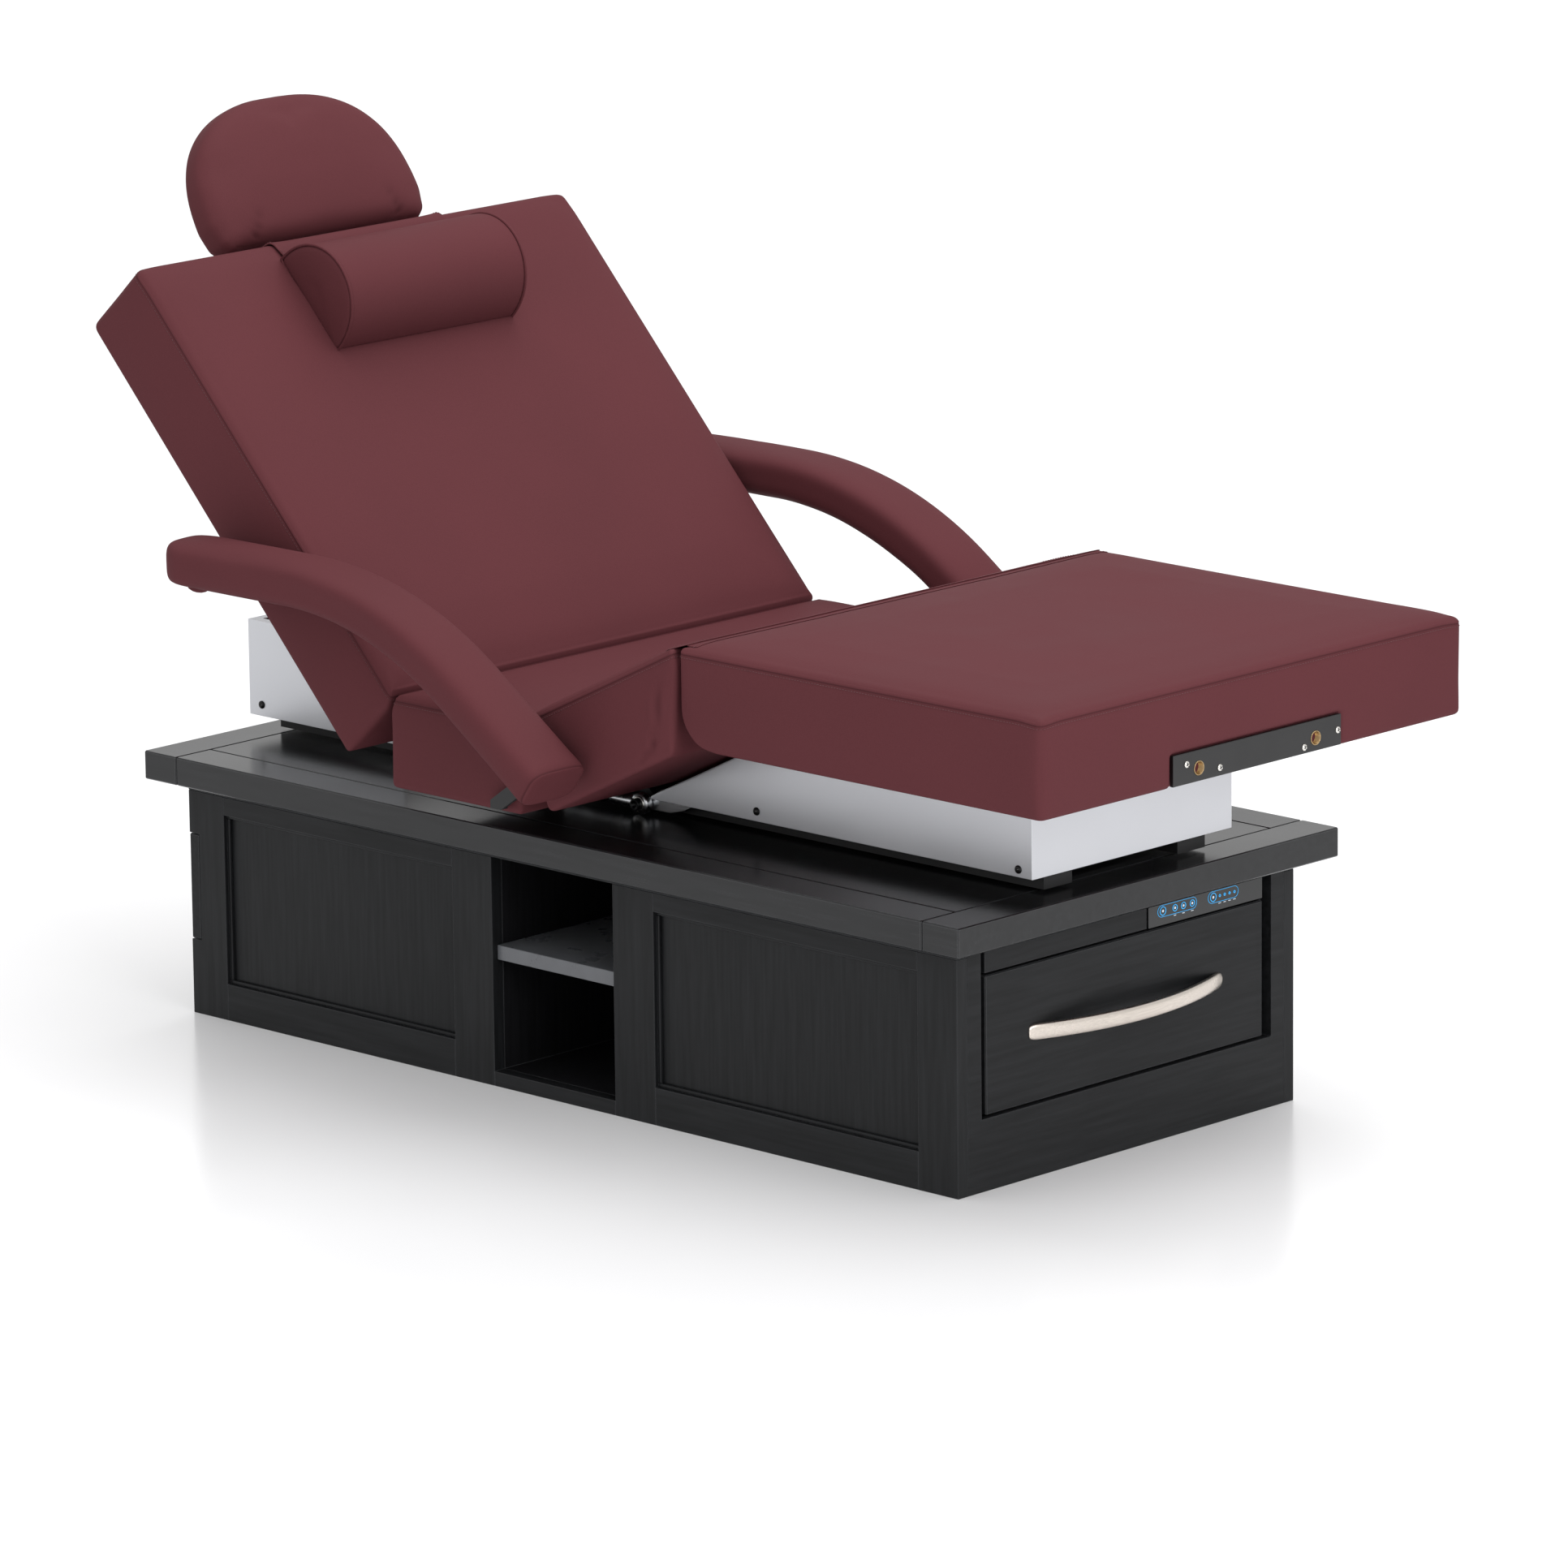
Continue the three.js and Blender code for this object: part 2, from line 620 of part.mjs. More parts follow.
// Sheet-metal surrounds, open below and towards the middle of the table.
function buildSkirts() {
  const inner = SKIRT_HALF_W - SHEET;
  const window = SKIRT_HALF_W - SKIRT_LIP;
  piece('skirt_head', cut(
    box(SKIRT_X0, HEAD_SKIRT_END, -SKIRT_HALF_W, SKIRT_HALF_W, SKIRT_Z0, SKIRT_Z1),
    box(SKIRT_X0 + SHEET, HEAD_SKIRT_END + 1, -inner, inner, SKIRT_Z0 - 1, SKIRT_Z1 - SHEET),
    box(SKIRT_X0 + SKIRT_LIP, HEAD_SKIRT_END + 1, -window, window, SKIRT_Z0, SKIRT_Z1 + 1),
  ), FINISH.skirt);

  // The foot skirt's sides slope along the underside of the lowered thigh section.
  const depth = (SKIRT_RELIEF - PAD_BOTTOM) / Math.cos(THIGH_DROP);
  const underThigh = (x) => THIGH_AXIS.z - (THIGH_AXIS.x - x) * Math.tan(THIGH_DROP) - depth;
  const x0 = FOOT_SKIRT_END - 1;
  const x1 = THIGH_AXIS.x;
  const clearance = [
    [x0, underThigh(x0)], [x1, underThigh(x1)],
    [x1 + SKIRT_LIP, SKIRT_Z1 + 1], [x0, SKIRT_Z1 + 1],
  ];
  piece('skirt_foot', cut(
    box(FOOT_SKIRT_END, SKIRT_X1, -SKIRT_HALF_W, SKIRT_HALF_W, SKIRT_Z0, SKIRT_Z1),
    box(x0, SKIRT_X1 - SHEET, -inner, inner, SKIRT_Z0 - 1, SKIRT_Z1 + 1),
    prismY(clearance, -SKIRT_HALF_W - 1, SKIRT_HALF_W + 1),
  ), FINISH.skirt);
}

// ---------------------------------------------------------------- upholstered sections

// Each section is drawn flat, with its leading hinge axis at the local origin,
// the upholstered surface at z = PAD_TOP and the head end towards -X.

const slotTool = (x0, x1, y0, y1, z1) => box(x0, x1, y0, y1, PAD_BOTTOM - 1, z1);

function earSlots(x0, x1) {
  return bothSides((side) => (
    slotTool(x0, x1, ...sideRange(side, EAR_Y - EAR_T - 4, EAR_Y + EAR_T + 4), EAR_R + 1.5)
  ));
}

function padSolid(profile, planOutline, recessX, tools) {
  const halfW = PAD_W / 2;
  let body = prismY(profile, -halfW, halfW);
  if (planOutline) {
    body = overlap(body, prismZ(planOutline, PAD_BOTTOM - 1, PAD_TOP + 1));
  }
  const recess = box(recessX[0], recessX[1], -halfW + PAD_WALL, halfW - PAD_WALL,
    PAD_BOTTOM - 1, RECESS_TOP);
  return cut(body, recess, ...tools);
}

function deck(x0, x1, tools) {
  const halfW = PAD_W / 2 - PAD_WALL - 1;
  return cut(box(x0 + 1, x1 - 1, -halfW, halfW, DECK_Z0, DECK_Z0 + DECK_T), ...tools);
}

// The welded tubes under one deck, from recess end to recess end.
function frameTubes(x0, x1) {
  const reach = PAD_W / 2 - PAD_WALL - 12;
  const parts = [
    box(x0 + TUBE_INSET, x0 + TUBE_INSET + FRAME_TUBE, -reach, reach, TUBE_Z0, TUBE_Z1),
    box(x1 - TUBE_INSET - FRAME_TUBE, x1 - TUBE_INSET, -reach, reach, TUBE_Z0, TUBE_Z1),
  ];
  for (const side of [-1, 1]) {
    for (const y of [SOCKET_Y, reach - FRAME_TUBE / 2]) {
      const range = sideRange(side, y - FRAME_TUBE / 2, y + FRAME_TUBE / 2);
      parts.push(box(x0 + 3, x1 - 3, ...range, TUBE_Z0, TUBE_Z1));
    }
  }
  return parts;
}

// A pair of ears rising from one frame tube to a hinge axis.
// Inner ears carry welded studs, outer ears have the holes that turn on them.
function ears(axisX, footX, kind) {
  const foot = rectangle(footX, footX + FRAME_TUBE, TUBE_Z0, TUBE_Z1);
  const outline = hull([...circle(axisX, 0, EAR_R), ...foot]);
  const parts = [];
  for (const side of [-1, 1]) {
    if (kind === 'stud') {
      parts.push(prismY(outline, ...sideRange(side, EAR_Y - EAR_T - 1, EAR_Y - 1)));
      parts.push(cylinderY(axisX, 0, STUD_R, ...sideRange(side, EAR_Y - 3, EAR_Y + EAR_T + 3)));
    } else {
      const hole = circle(axisX, 0, STUD_R + STUD_CLEARANCE);
      parts.push(prismY(outline, ...sideRange(side, EAR_Y + 1, EAR_Y + EAR_T + 1), [hole]));
    }
  }
  return parts;
}

function roundedEnd(x0, x1, radius, roundAt) {
  const halfW = PAD_W / 2;
  const quarter = Math.PI / 2;
  const square = (x, y) => [[x, y]];
  const corner = (x, y, from) => {
    const cx = x - Math.sign(x - (x0 + x1) / 2) * radius;
    const cy = y - Math.sign(y) * radius;
    return arc(cx, cy, radius, radius, from, from + quarter, 4);
  };
  const at = (x, y, from) => (x === roundAt ? corner(x, y, from) : square(x, y));
  return [
    ...at(x0, -halfW, 2 * quarter), ...at(x1, -halfW, 3 * quarter),
    ...at(x1, halfW, 0), ...at(x0, halfW, quarter),
  ];
}

function buildLeg() {
  const leg = group(THIGH_AXIS.x, THIGH_AXIS.z, 0);
  const { x: chamferX, z: chamferZ } = LEG_CHAMFER;
  const profile = [
    ...arc(END_GAP + chamferX, PAD_BOTTOM + chamferZ, chamferX, chamferZ, Math.PI,
      Math.PI * 1.5, 5),
    [LEG_L, PAD_BOTTOM], [LEG_L, PAD_TOP], [END_GAP, PAD_TOP],
  ];
  const recessX = [END_GAP + chamferX + 14, LEG_L - PAD_WALL];
  const plateZ1 = PAD_BOTTOM + PLATE_H;
  const sockets = bothSides((side) => (
    slotTool(recessX[1] - 1, LEG_L + 1,
      ...sideRange(side, SOCKET_Y - FRAME_TUBE / 2 - 1, SOCKET_Y + FRAME_TUBE / 2 + 1),
      TUBE_Z1 + 1)
  ));
  const plan = roundedEnd(END_GAP, LEG_L, LEG_CORNER_R, LEG_L);
  const hingeSlots = earSlots(-1, recessX[0] + FRAME_TUBE + 4);
  piece('leg_pad', padSolid(profile, plan, recessX, [
    ...hingeSlots,
    slotTool(LEG_L - PLATE_T - GAP, LEG_L + 1, -PLATE_HALF_W - GAP, PLATE_HALF_W + GAP, plateZ1 + GAP),
    ...sockets,
  ]), FINISH.vinyl, leg);
  piece('leg_deck', deck(...recessX, hingeSlots), FINISH.plywood, leg);

  const socketEnds = bothSides((side) => (
    box(recessX[1] - 4, LEG_L - PLATE_T - GAP,
      ...sideRange(side, SOCKET_Y - FRAME_TUBE / 2, SOCKET_Y + FRAME_TUBE / 2), TUBE_Z0, TUBE_Z1)
  ));
  const tubes = join(
    ...frameTubes(...recessX),
    ...ears(0, recessX[0] + TUBE_INSET, 'stud'),
    ...socketEnds,
  );
  const bores = bothSides((side) => (
    cylinderX(side * SOCKET_Y, SOCKET_Z, FOOT_SOCKET_R, LEG_L - 200, LEG_L)
  ));
  piece('leg_frame', cut(tubes, ...bores), FINISH.frame, leg);

  const plateFace = rectangle(-PLATE_HALF_W, PLATE_HALF_W, PAD_BOTTOM, plateZ1);
  const holes = bothSides((side) => circle(side * SOCKET_Y, SOCKET_Z, PLATE_SOCKET_R));
  piece('foot_socket_plate', prismX(plateFace, LEG_L - PLATE_T, LEG_L, holes), FINISH.plate, leg);
}

function buildThigh() {
  const thigh = group(THIGH_AXIS.x, THIGH_AXIS.z, -THIGH_DROP);
  const headX = -THIGH_L + END_GAP;
  const footBottomX = -END_GAP + PAD_BOTTOM * Math.tan(THIGH_UNDERCUT);
  const relief = PAD_TOP * Math.tan(THIGH_DROP / 2);
  const profile = [
    [headX, PAD_BOTTOM], [footBottomX, PAD_BOTTOM], [-END_GAP, 0], [-END_GAP, PAD_TOP],
    [headX + relief, PAD_TOP], [headX, 0],
  ];
  const recessX = [headX + PAD_WALL, footBottomX - PAD_WALL];
  const hingeSlots = [
    ...earSlots(headX - 1, recessX[0] + FRAME_TUBE + 4),
    ...earSlots(recessX[1] - FRAME_TUBE - 4, 1),
  ];
  piece('thigh_pad', padSolid(profile, null, recessX, [
    ...hingeSlots,
    slotTool(recessX[1] - 1, footBottomX + 20, -ROD_R - 14, ROD_R + 2, TUBE_Z1 + 1),
  ]), FINISH.vinyl, thigh);
  piece('thigh_deck', deck(...recessX, hingeSlots), FINISH.plywood, thigh);

  const half = THIGH_DROP / 2;
  const pin = [-LEVER_R * Math.sin(half), -LEVER_R * Math.cos(half)];
  const tubeEnd = recessX[1] - TUBE_INSET;
  const leverFoot = rectangle(tubeEnd - FRAME_TUBE, tubeEnd, TUBE_Z0, TUBE_Z1);
  piece('thigh_frame', join(
    ...frameTubes(...recessX),
    ...ears(-THIGH_L, recessX[0] + TUBE_INSET, 'hole'),
    ...ears(0, recessX[1] - TUBE_INSET - FRAME_TUBE, 'hole'),
    prismY(hull([...circle(...pin, 11), ...leverFoot]), -ROD_R - 12, -ROD_R - 1),
    cylinderY(...pin, LEVER_PIN_R, -ROD_R - 4, ROD_R),
  ), FINISH.frame, thigh);
}

// One armrest bracket: a tongue through the pad's side, then a bar up to the armrest's pivot.
function armBracket(side) {
  const pivot = [ARM_PIVOT.x - SEAT_AXIS.x, ARM_PIVOT.z - SEAT_AXIS.z];
  const inner = PAD_W / 2 - PAD_WALL - FRAME_TUBE;
  const corners = rectangle(BRACKET_X0, BRACKET_X1, TUBE_Z0 + 2, BRACKET_TOP);
  const upright = hull([...circle(...pivot, ARM_STUD_R + 4), ...corners]);
  return [
    box(BRACKET_X0, BRACKET_X1, ...sideRange(side, inner, BRACKET_Y), TUBE_Z0 + 2, BRACKET_TOP),
    prismY(upright, ...sideRange(side, BRACKET_Y - BRACKET_T, BRACKET_Y)),
    cylinderY(...pivot, ARM_STUD_R, ...sideRange(side, BRACKET_Y - 3, ARM_Y0 - 0.5)),
  ];
}

function buildSeat() {
  const seat = group(SEAT_AXIS.x, SEAT_AXIS.z, 0);
  const headX = -SEAT_L + END_GAP;
  const headRelief = PAD_TOP * Math.tan(BACK_RISE / 2);
  const footRelief = PAD_TOP * Math.tan(THIGH_DROP / 2);
  const profile = [
    [headX, PAD_BOTTOM], [-END_GAP, PAD_BOTTOM], [-END_GAP, 0], [-END_GAP - footRelief, PAD_TOP],
    [headX + headRelief, PAD_TOP], [headX, 0],
  ];
  const recessX = [headX + PAD_WALL, -END_GAP - PAD_WALL];
  const bracketY = [LINK_Y - 10, LINK_Y - 2];
  const notches = bothSides((side) => (
    slotTool(recessX[1] - 1, 0, ...sideRange(side, bracketY[0] - 2, bracketY[1] + 2), TUBE_Z1)
  ));
  const hingeSlots = [
    ...earSlots(headX - 1, recessX[0] + FRAME_TUBE + 4),
    ...earSlots(recessX[1] - FRAME_TUBE - 4, 0),
  ];
  const bracketSlots = bothSides((side) => (
    slotTool(BRACKET_X0 - 2, BRACKET_X1 + 2, ...sideRange(side, PAD_W / 2 - PAD_WALL - 1,
      PAD_W / 2 + 1), BRACKET_TOP + 2)
  ));
  piece('seat_pad', padSolid(profile, null, recessX, [
    ...hingeSlots, ...notches, ...bracketSlots,
  ]), FINISH.vinyl, seat);
  piece('seat_deck', deck(...recessX, hingeSlots), FINISH.plywood, seat);

  const pivot = [0, -LINK_DROP];
  const tubeEnd = recessX[1] - TUBE_INSET;
  const foot = rectangle(tubeEnd - FRAME_TUBE, tubeEnd, TUBE_Z0, BRACKET_TOP);
  const bracket = hull([...circle(...pivot, LINK_EYE_R), ...foot]);
  const brackets = bothSides((side) => prismY(bracket, ...sideRange(side, ...bracketY)));
  const studs = bothSides((side) => (
    cylinderY(...pivot, STUD_R, ...sideRange(side, LINK_Y + 12 - LINK_STUD_L, LINK_Y + 10))
  ));
  piece('seat_frame', join(
    ...frameTubes(...recessX),
    ...ears(-SEAT_L, recessX[0] + TUBE_INSET, 'stud'),
    ...ears(0, recessX[1] - TUBE_INSET - FRAME_TUBE, 'stud'),
    ...brackets,
    ...studs,
    ...armBracket(-1),
    ...armBracket(1),
  ), FINISH.frame, seat);
}

function bolster() {
  const centreX = (BOLSTER_X0 + BOLSTER_X1) / 2;
  const halfDepth = (BOLSTER_X1 - BOLSTER_X0) / 2;
  const base = PAD_TOP + GAP;
  const roll = arc(centreX, base, halfDepth, BOLSTER_H, 0, Math.PI, 14);
  const endX = -BACK_L - GAP;
  const flap = [
    [BOLSTER_X0 + 10, base], [BOLSTER_X0 + 10, base + FLAP_T], [endX - FLAP_T, base + FLAP_T],
    [endX - FLAP_T, -36], [endX, -36], [endX, base],
  ];
  return join(
    prismY(roll, -BOLSTER_HALF_L, BOLSTER_HALF_L),
    prismY(flap, -BOLSTER_HALF_L + 4, BOLSTER_HALF_L - 4),
  );
}

function buildBack() {
  const back = group(BACK_AXIS.x, BACK_AXIS.z, BACK_RISE);
  const relief = PAD_TOP * Math.tan(BACK_RISE / 2);
  const profile = [
    [-BACK_L, PAD_BOTTOM], [-END_GAP, PAD_BOTTOM], [-END_GAP, 0], [-END_GAP - relief, PAD_TOP],
    [-BACK_L, PAD_TOP],
  ];
  const recessX = [-BACK_L + PAD_WALL, -END_GAP - PAD_WALL];
  const rodNotches = bothSides((side) => (
    slotTool(-BACK_L - 1, recessX[0] + 1, ...sideRange(side, SOCKET_Y - 10, SOCKET_Y + 10),
      TUBE_Z1 + 1)
  ));
  const plan = roundedEnd(-BACK_L, -END_GAP, BACK_CORNER_R, -BACK_L);
  const hingeSlots = earSlots(recessX[1] - FRAME_TUBE - 4, 0);
  piece('back_pad', padSolid(profile, plan, recessX, [...hingeSlots, ...rodNotches]),
    FINISH.vinyl, back);
  piece('back_deck', deck(...recessX, hingeSlots), FINISH.plywood, back);

  const hingeTube = recessX[1] - TUBE_INSET - FRAME_TUBE;
  const tubes = join(...frameTubes(...recessX), ...ears(0, hingeTube, 'hole'));
  const bores = bothSides((side) => (
    cylinderX(side * SOCKET_Y, SOCKET_Z, BAR_R + 1, -BACK_L, -BACK_L + ROD_GRIP + 35)
  ));
  piece('back_frame', cut(tubes, ...bores), FINISH.frame, back);
  piece('neck_bolster', bolster(), FINISH.vinyl, back);

  const rods = bothSides((side) => (
    cylinderX(side * SOCKET_Y, SOCKET_Z, BAR_R, BAR_X, -BACK_L + ROD_GRIP, 12)
  ));
  const tiltBar = cylinderY(BAR_X, SOCKET_Z, BAR_R, -TILT_BAR_HALF_L, TILT_BAR_HALF_L, 12);
  piece('headrest_rods', join(tiltBar, ...rods), FINISH.zinc, back);
  buildHeadrest(back);
}

// Headrest outline in (x, y): a narrow base, widest low down, and a rounded crown.
function headrestOutline(scale) {
  const wideX = -HEADREST_BASE - HEADREST_WIDE_X;
  const crown = HEADREST_H - HEADREST_WIDE_X;
  const power = HEADREST_ROUNDNESS;
  const outline = [];
  for (let i = 0; i <= 16; i += 1) {
    const angle = (Math.PI * i) / 16;
    const y = Math.sign(Math.cos(angle)) * Math.abs(Math.cos(angle)) ** power;
    const x = Math.sin(angle) ** power;
    outline.push([wideX - scale * crown * x, scale * HEADREST_HALF_W * y]);
  }
  const baseY = scale * HEADREST_HALF_W * HEADREST_BASE_WIDTH;
  return [...outline, [-HEADREST_BASE, -baseY], [-HEADREST_BASE, baseY]];
}

function buildHeadrest(parent) {
  const tilt = group(BAR_X, SOCKET_Z, HEADREST_TILT, parent);
  const boardZ = BAR_R + 1;
  const shape = new THREE.Shape(points2(headrestOutline(1)));
  const pad = new THREE.ExtrudeGeometry(shape, {
    depth: HEADREST_T - 2 * HEADREST_SOFT_EDGE,
    bevelEnabled: true,
    bevelThickness: HEADREST_SOFT_EDGE,
    bevelSize: HEADREST_SOFT_EDGE,
    bevelOffset: -HEADREST_SOFT_EDGE,
    bevelSegments: 2,
  });
  pad.translate(0, 0, boardZ + HEADREST_BOARD_T + GAP + HEADREST_SOFT_EDGE);
  piece('headrest_pad', pad, FINISH.vinyl, tilt);

  const lug = hull([...circle(0, 0, BAR_R + 4), [-50, boardZ], [-50, boardZ + HEADREST_BOARD_T]]);
  const lugs = bothSides((side) => prismY(lug, ...sideRange(side, ...LUG_Y)));
  const bores = bothSides((side) => (
    cylinderY(0, 0, BAR_R + STUD_CLEARANCE, ...sideRange(side, LUG_Y[0] - 1, LUG_Y[1] + 1))
  ));
  piece('headrest_board',
    cut(join(prismZ(headrestOutline(0.82), boardZ, boardZ + HEADREST_BOARD_T), ...lugs), ...bores),
    FINISH.plywood, tilt);
}

// ---------------------------------------------------------------- armrests

// Side outline of an armrest: level at the rear, then bending down to the pivot.
function armOutline(inset) {
  const half = ARM_T / 2 - inset;
  const centreZ = ARM_REAR.z - ARM_BEND_R;
  const quarter = Math.PI / 2;
  const top = arc(ARM_BEND_X, centreZ, ARM_BEND_R + half, ARM_BEND_R + half, quarter,
    quarter - ARM_SLOPE, 9);
  const bottom = arc(ARM_BEND_X, centreZ, ARM_BEND_R - half, ARM_BEND_R - half,
    quarter - ARM_SLOPE, quarter, 9);
  const bendEnd = ARM_BEND_X + ARM_BEND_R * Math.sin(ARM_SLOPE);
  const run = (ARM_FRONT_X - inset - bendEnd) / Math.cos(ARM_SLOPE);
  const along = ([x, z]) => [x + run * Math.cos(ARM_SLOPE), z - run * Math.sin(ARM_SLOPE)];
  const rear = arc(ARM_REAR.x + ARM_T / 2, ARM_REAR.z, half, half, quarter, 3 * quarter, 6);
  const clockwise = [...top, along(top[top.length - 1]), along(bottom[0]), ...bottom];
  return [...clockwise.reverse(), ...rear];
}

function buildArms() {
  for (const [name, side] of [['near', -1], ['far', 1]]) {
    piece(`arm_pad_${name}`, prismY(armOutline(0), ...sideRange(side, ARM_Y0, ARM_Y1), [], 6),
      FINISH.vinyl);
    const hole = circle(ARM_PIVOT.x, ARM_PIVOT.z, ARM_STUD_R + STUD_CLEARANCE);
    const coreY = sideRange(side, BRACKET_Y + ARM_CORE_GAP, ARM_Y0 - GAP);
    piece(`arm_core_${name}`, prismY(armOutline(ARM_WALL), ...coreY,
      [hole]), FINISH.frame);
  }
}

// ---------------------------------------------------------------- recline linkage

function buildLinkage() {
  const low = [SEAT_AXIS.x, SEAT_AXIS.z - LINK_DROP];
  const high = [THIGH_AXIS.x, THIGH_AXIS.z - LINK_DROP];
  const holes = [low, high].map((end) => circle(...end, STUD_R + STUD_CLEARANCE));
  const along = [Math.cos(THIGH_DROP), Math.sin(THIGH_DROP)];
  const across = [-along[1] * LINK_HALF_H, along[0] * LINK_HALF_H];
  const bar = [
    [low[0] - across[0], low[1] - across[1]], [high[0] - across[0], high[1] - across[1]],
    [high[0] + across[0], high[1] + across[1]], [low[0] + across[0], low[1] + across[1]],
  ];
  for (const [name, side] of [['near', -1], ['far', 1]]) {
    const range = sideRange(side, LINK_Y, LINK_Y + LINK_T);
    const blank = join(
      prismY(bar, ...range),
      prismY(circle(...low, LINK_EYE_R), ...range),
      prismY(circle(...high, LINK_EYE_R), ...range),
    );
    piece(`parallel_link_${name}`, cut(blank, ...holes.map((hole) => (
      prismY(hole, range[0] - 1, range[1] + 1)
    ))), FINISH.zinc);
  }

  const tubeX0 = ACTUATOR_TUBE_X;
  const tubeX1 = GEARBOX_X;
  const tube = cut(
    cylinderX(0, ACTUATOR_Z, 2 * ROD_R, tubeX0, tubeX1),
    cylinderX(0, ACTUATOR_Z, ROD_R + 1, tubeX0 - 1, tubeX1 - 20),
  );
  piece('actuator_body', join(
    tube,
    box(tubeX1 - 5, ACTUATOR_MOUNT_X - GAP, -26, 60, ACTUATOR_Z - 24, ACTUATOR_Z + 24),
    cylinderX(MOTOR_Y, ACTUATOR_Z, MOTOR_R, tubeX1 - 100, tubeX1, 20),
  ), FINISH.frame);

  const eyeX = THIGH_AXIS.x + LEVER_R * Math.sin(THIGH_DROP / 2);
  const eye = cylinderY(eyeX, ACTUATOR_Z, 14, -5, 5, 20);
  const rod = cylinderX(0, ACTUATOR_Z, ROD_R, eyeX + 10, eyeX + 180, 12);
  const bore = cylinderY(eyeX, ACTUATOR_Z, LEVER_PIN_R + ROD_EYE_CLEARANCE, -6, 6, 20);
  piece('actuator_rod', cut(join(eye, rod), bore), FINISH.zinc);
}

// ---------------------------------------------------------------- assembly

buildCabinet();
buildDrawers();
buildColumns();
buildChassis();
buildSkirts();
buildLeg();
buildThigh();
buildSeat();
buildBack();
buildArms();
buildLinkage();

export default model;
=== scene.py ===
"""Spa treatment table with a chair top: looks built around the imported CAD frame.

Metres, +X to the foot end, +Y to the far side, +Z up. Upholstery is drawn flat in each
section's own frame (leading hinge axis at the origin, surface at PAD_TOP), swollen by a
cloth simulation and then seamed. The cabinet's long sides, the drawer handle and the links
are rebuilt here. The other hard parts keep their CAD meshes and get materials and modifiers.
"""

import json
import math

import bmesh
import bpy
import numpy as np
from mathutils import Matrix, Vector
from mathutils.bvhtree import BVHTree


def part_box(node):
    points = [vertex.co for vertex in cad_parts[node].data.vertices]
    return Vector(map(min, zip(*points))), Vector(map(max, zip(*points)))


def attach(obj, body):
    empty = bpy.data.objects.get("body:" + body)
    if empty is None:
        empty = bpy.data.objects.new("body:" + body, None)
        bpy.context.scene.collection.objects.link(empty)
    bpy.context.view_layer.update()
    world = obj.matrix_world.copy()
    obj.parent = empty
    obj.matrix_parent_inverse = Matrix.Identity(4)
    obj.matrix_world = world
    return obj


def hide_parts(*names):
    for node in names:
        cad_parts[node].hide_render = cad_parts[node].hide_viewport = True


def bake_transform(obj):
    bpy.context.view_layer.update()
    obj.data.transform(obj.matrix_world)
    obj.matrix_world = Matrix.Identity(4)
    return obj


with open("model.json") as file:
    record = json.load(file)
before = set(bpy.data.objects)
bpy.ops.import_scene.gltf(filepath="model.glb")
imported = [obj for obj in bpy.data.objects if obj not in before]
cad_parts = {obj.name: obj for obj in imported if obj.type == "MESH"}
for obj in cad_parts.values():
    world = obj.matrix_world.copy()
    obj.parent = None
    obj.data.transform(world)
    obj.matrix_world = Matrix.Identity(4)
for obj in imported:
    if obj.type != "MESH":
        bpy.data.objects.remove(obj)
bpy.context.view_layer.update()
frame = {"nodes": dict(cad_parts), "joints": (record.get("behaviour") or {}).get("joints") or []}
scene = bpy.context.scene

# ---- sizes, in metres

PAD_TOP = 0.024  # upholstered surface above the hinge axes
PAD_BOTTOM = -0.100
PAD_HALF_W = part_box("leg_pad")[1].y
LEG_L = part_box("leg_pad")[1].x - 0.285
THIGH_L = 0.299
SEAT_L = 0.234
BACK_L = 0.672
END_GAP = 0.002  # from each hinge axis to the visible end of a pad
SHRINK = 0.0018  # pads start this much inside their final faces and swell out
TOP_EDGE_R = 0.009
BOTTOM_EDGE_R = 0.008
SEAM_DROP = 0.0095  # main seam, below the upholstered surface
STITCH_OFFSET = 0.0035  # topstitching, below the main seam
POCKET_DEPTH = 0.006  # behind the foot socket plate
POCKET_CAP = 0.0005
HINGE_FACE_CROWN = 0.0008
# how dark the painted shade in a fold's crease gets
FOLD_SHADE = 0.4
FREE_CORNER_DIP = 0.003  # how far the top falls away at a free corner
FREE_CORNER_REACH = 0.035
FREE_CORNER_R = 0.01  # an end with a larger plan radius than this is free, not at a hinge
PAD_GRID = 0.010
PAD_GRID_Z = 0.008
SEAM_GRID = (  # grid rows beside the main seam
    -0.0045, -0.0018, 0, 0.0018, 0.0045,
)
SEAM_SINK = 0.0007
SEAM_W = 0.0013
STITCH_SINK = 0.0003
STITCH_W = 0.002
STITCH_PITCH = 0.0046
STITCH_L = 0.0034
THREAD_R = 0.00045
# one stitch, ring by ring: (along in STITCH_L, radius and lift in THREAD_R)
STITCH_PROFILE = ((-0.5, 0.35, -0.5), (-0.3, 1, 0.5), (0.3, 1, 0.5), (0.5, 0.35, -0.5))
THIGH_UNDERCUT = math.radians(30)

ARM_HALF_W = 0.0475
ARM_HALF_T = 0.028
ARM_REAR = (-0.530, 0.640)
ARM_BEND_X = -0.310
ARM_BEND_R = 0.523
ARM_SLOPE = math.radians(34.5)
ARM_FRONT_X = 0.131
ARM_Y = 0.4405
ARM_GRID = 0.009
ARM_SQUARENESS = 4.2
ARM_SECTION_POINTS = 52
ARM_REAR_REACH = (0.050, 0.016)  # over which the rear rounds off, in plan and in height
ARM_FRONT_CAP = (  # (distance past the front seam, share of the full section)
    (0.0015, 0.985), (0.003, 0.955), (0.0035, 0.90), (0.0036, 0.8), (0.0036, 0.6),
    (0.0036, 0.4), (0.0036, 0.2), (0.0036, 0.03),
)
ARM_SWELL = 0.0035
ARM_FOLD_R = 0.0052
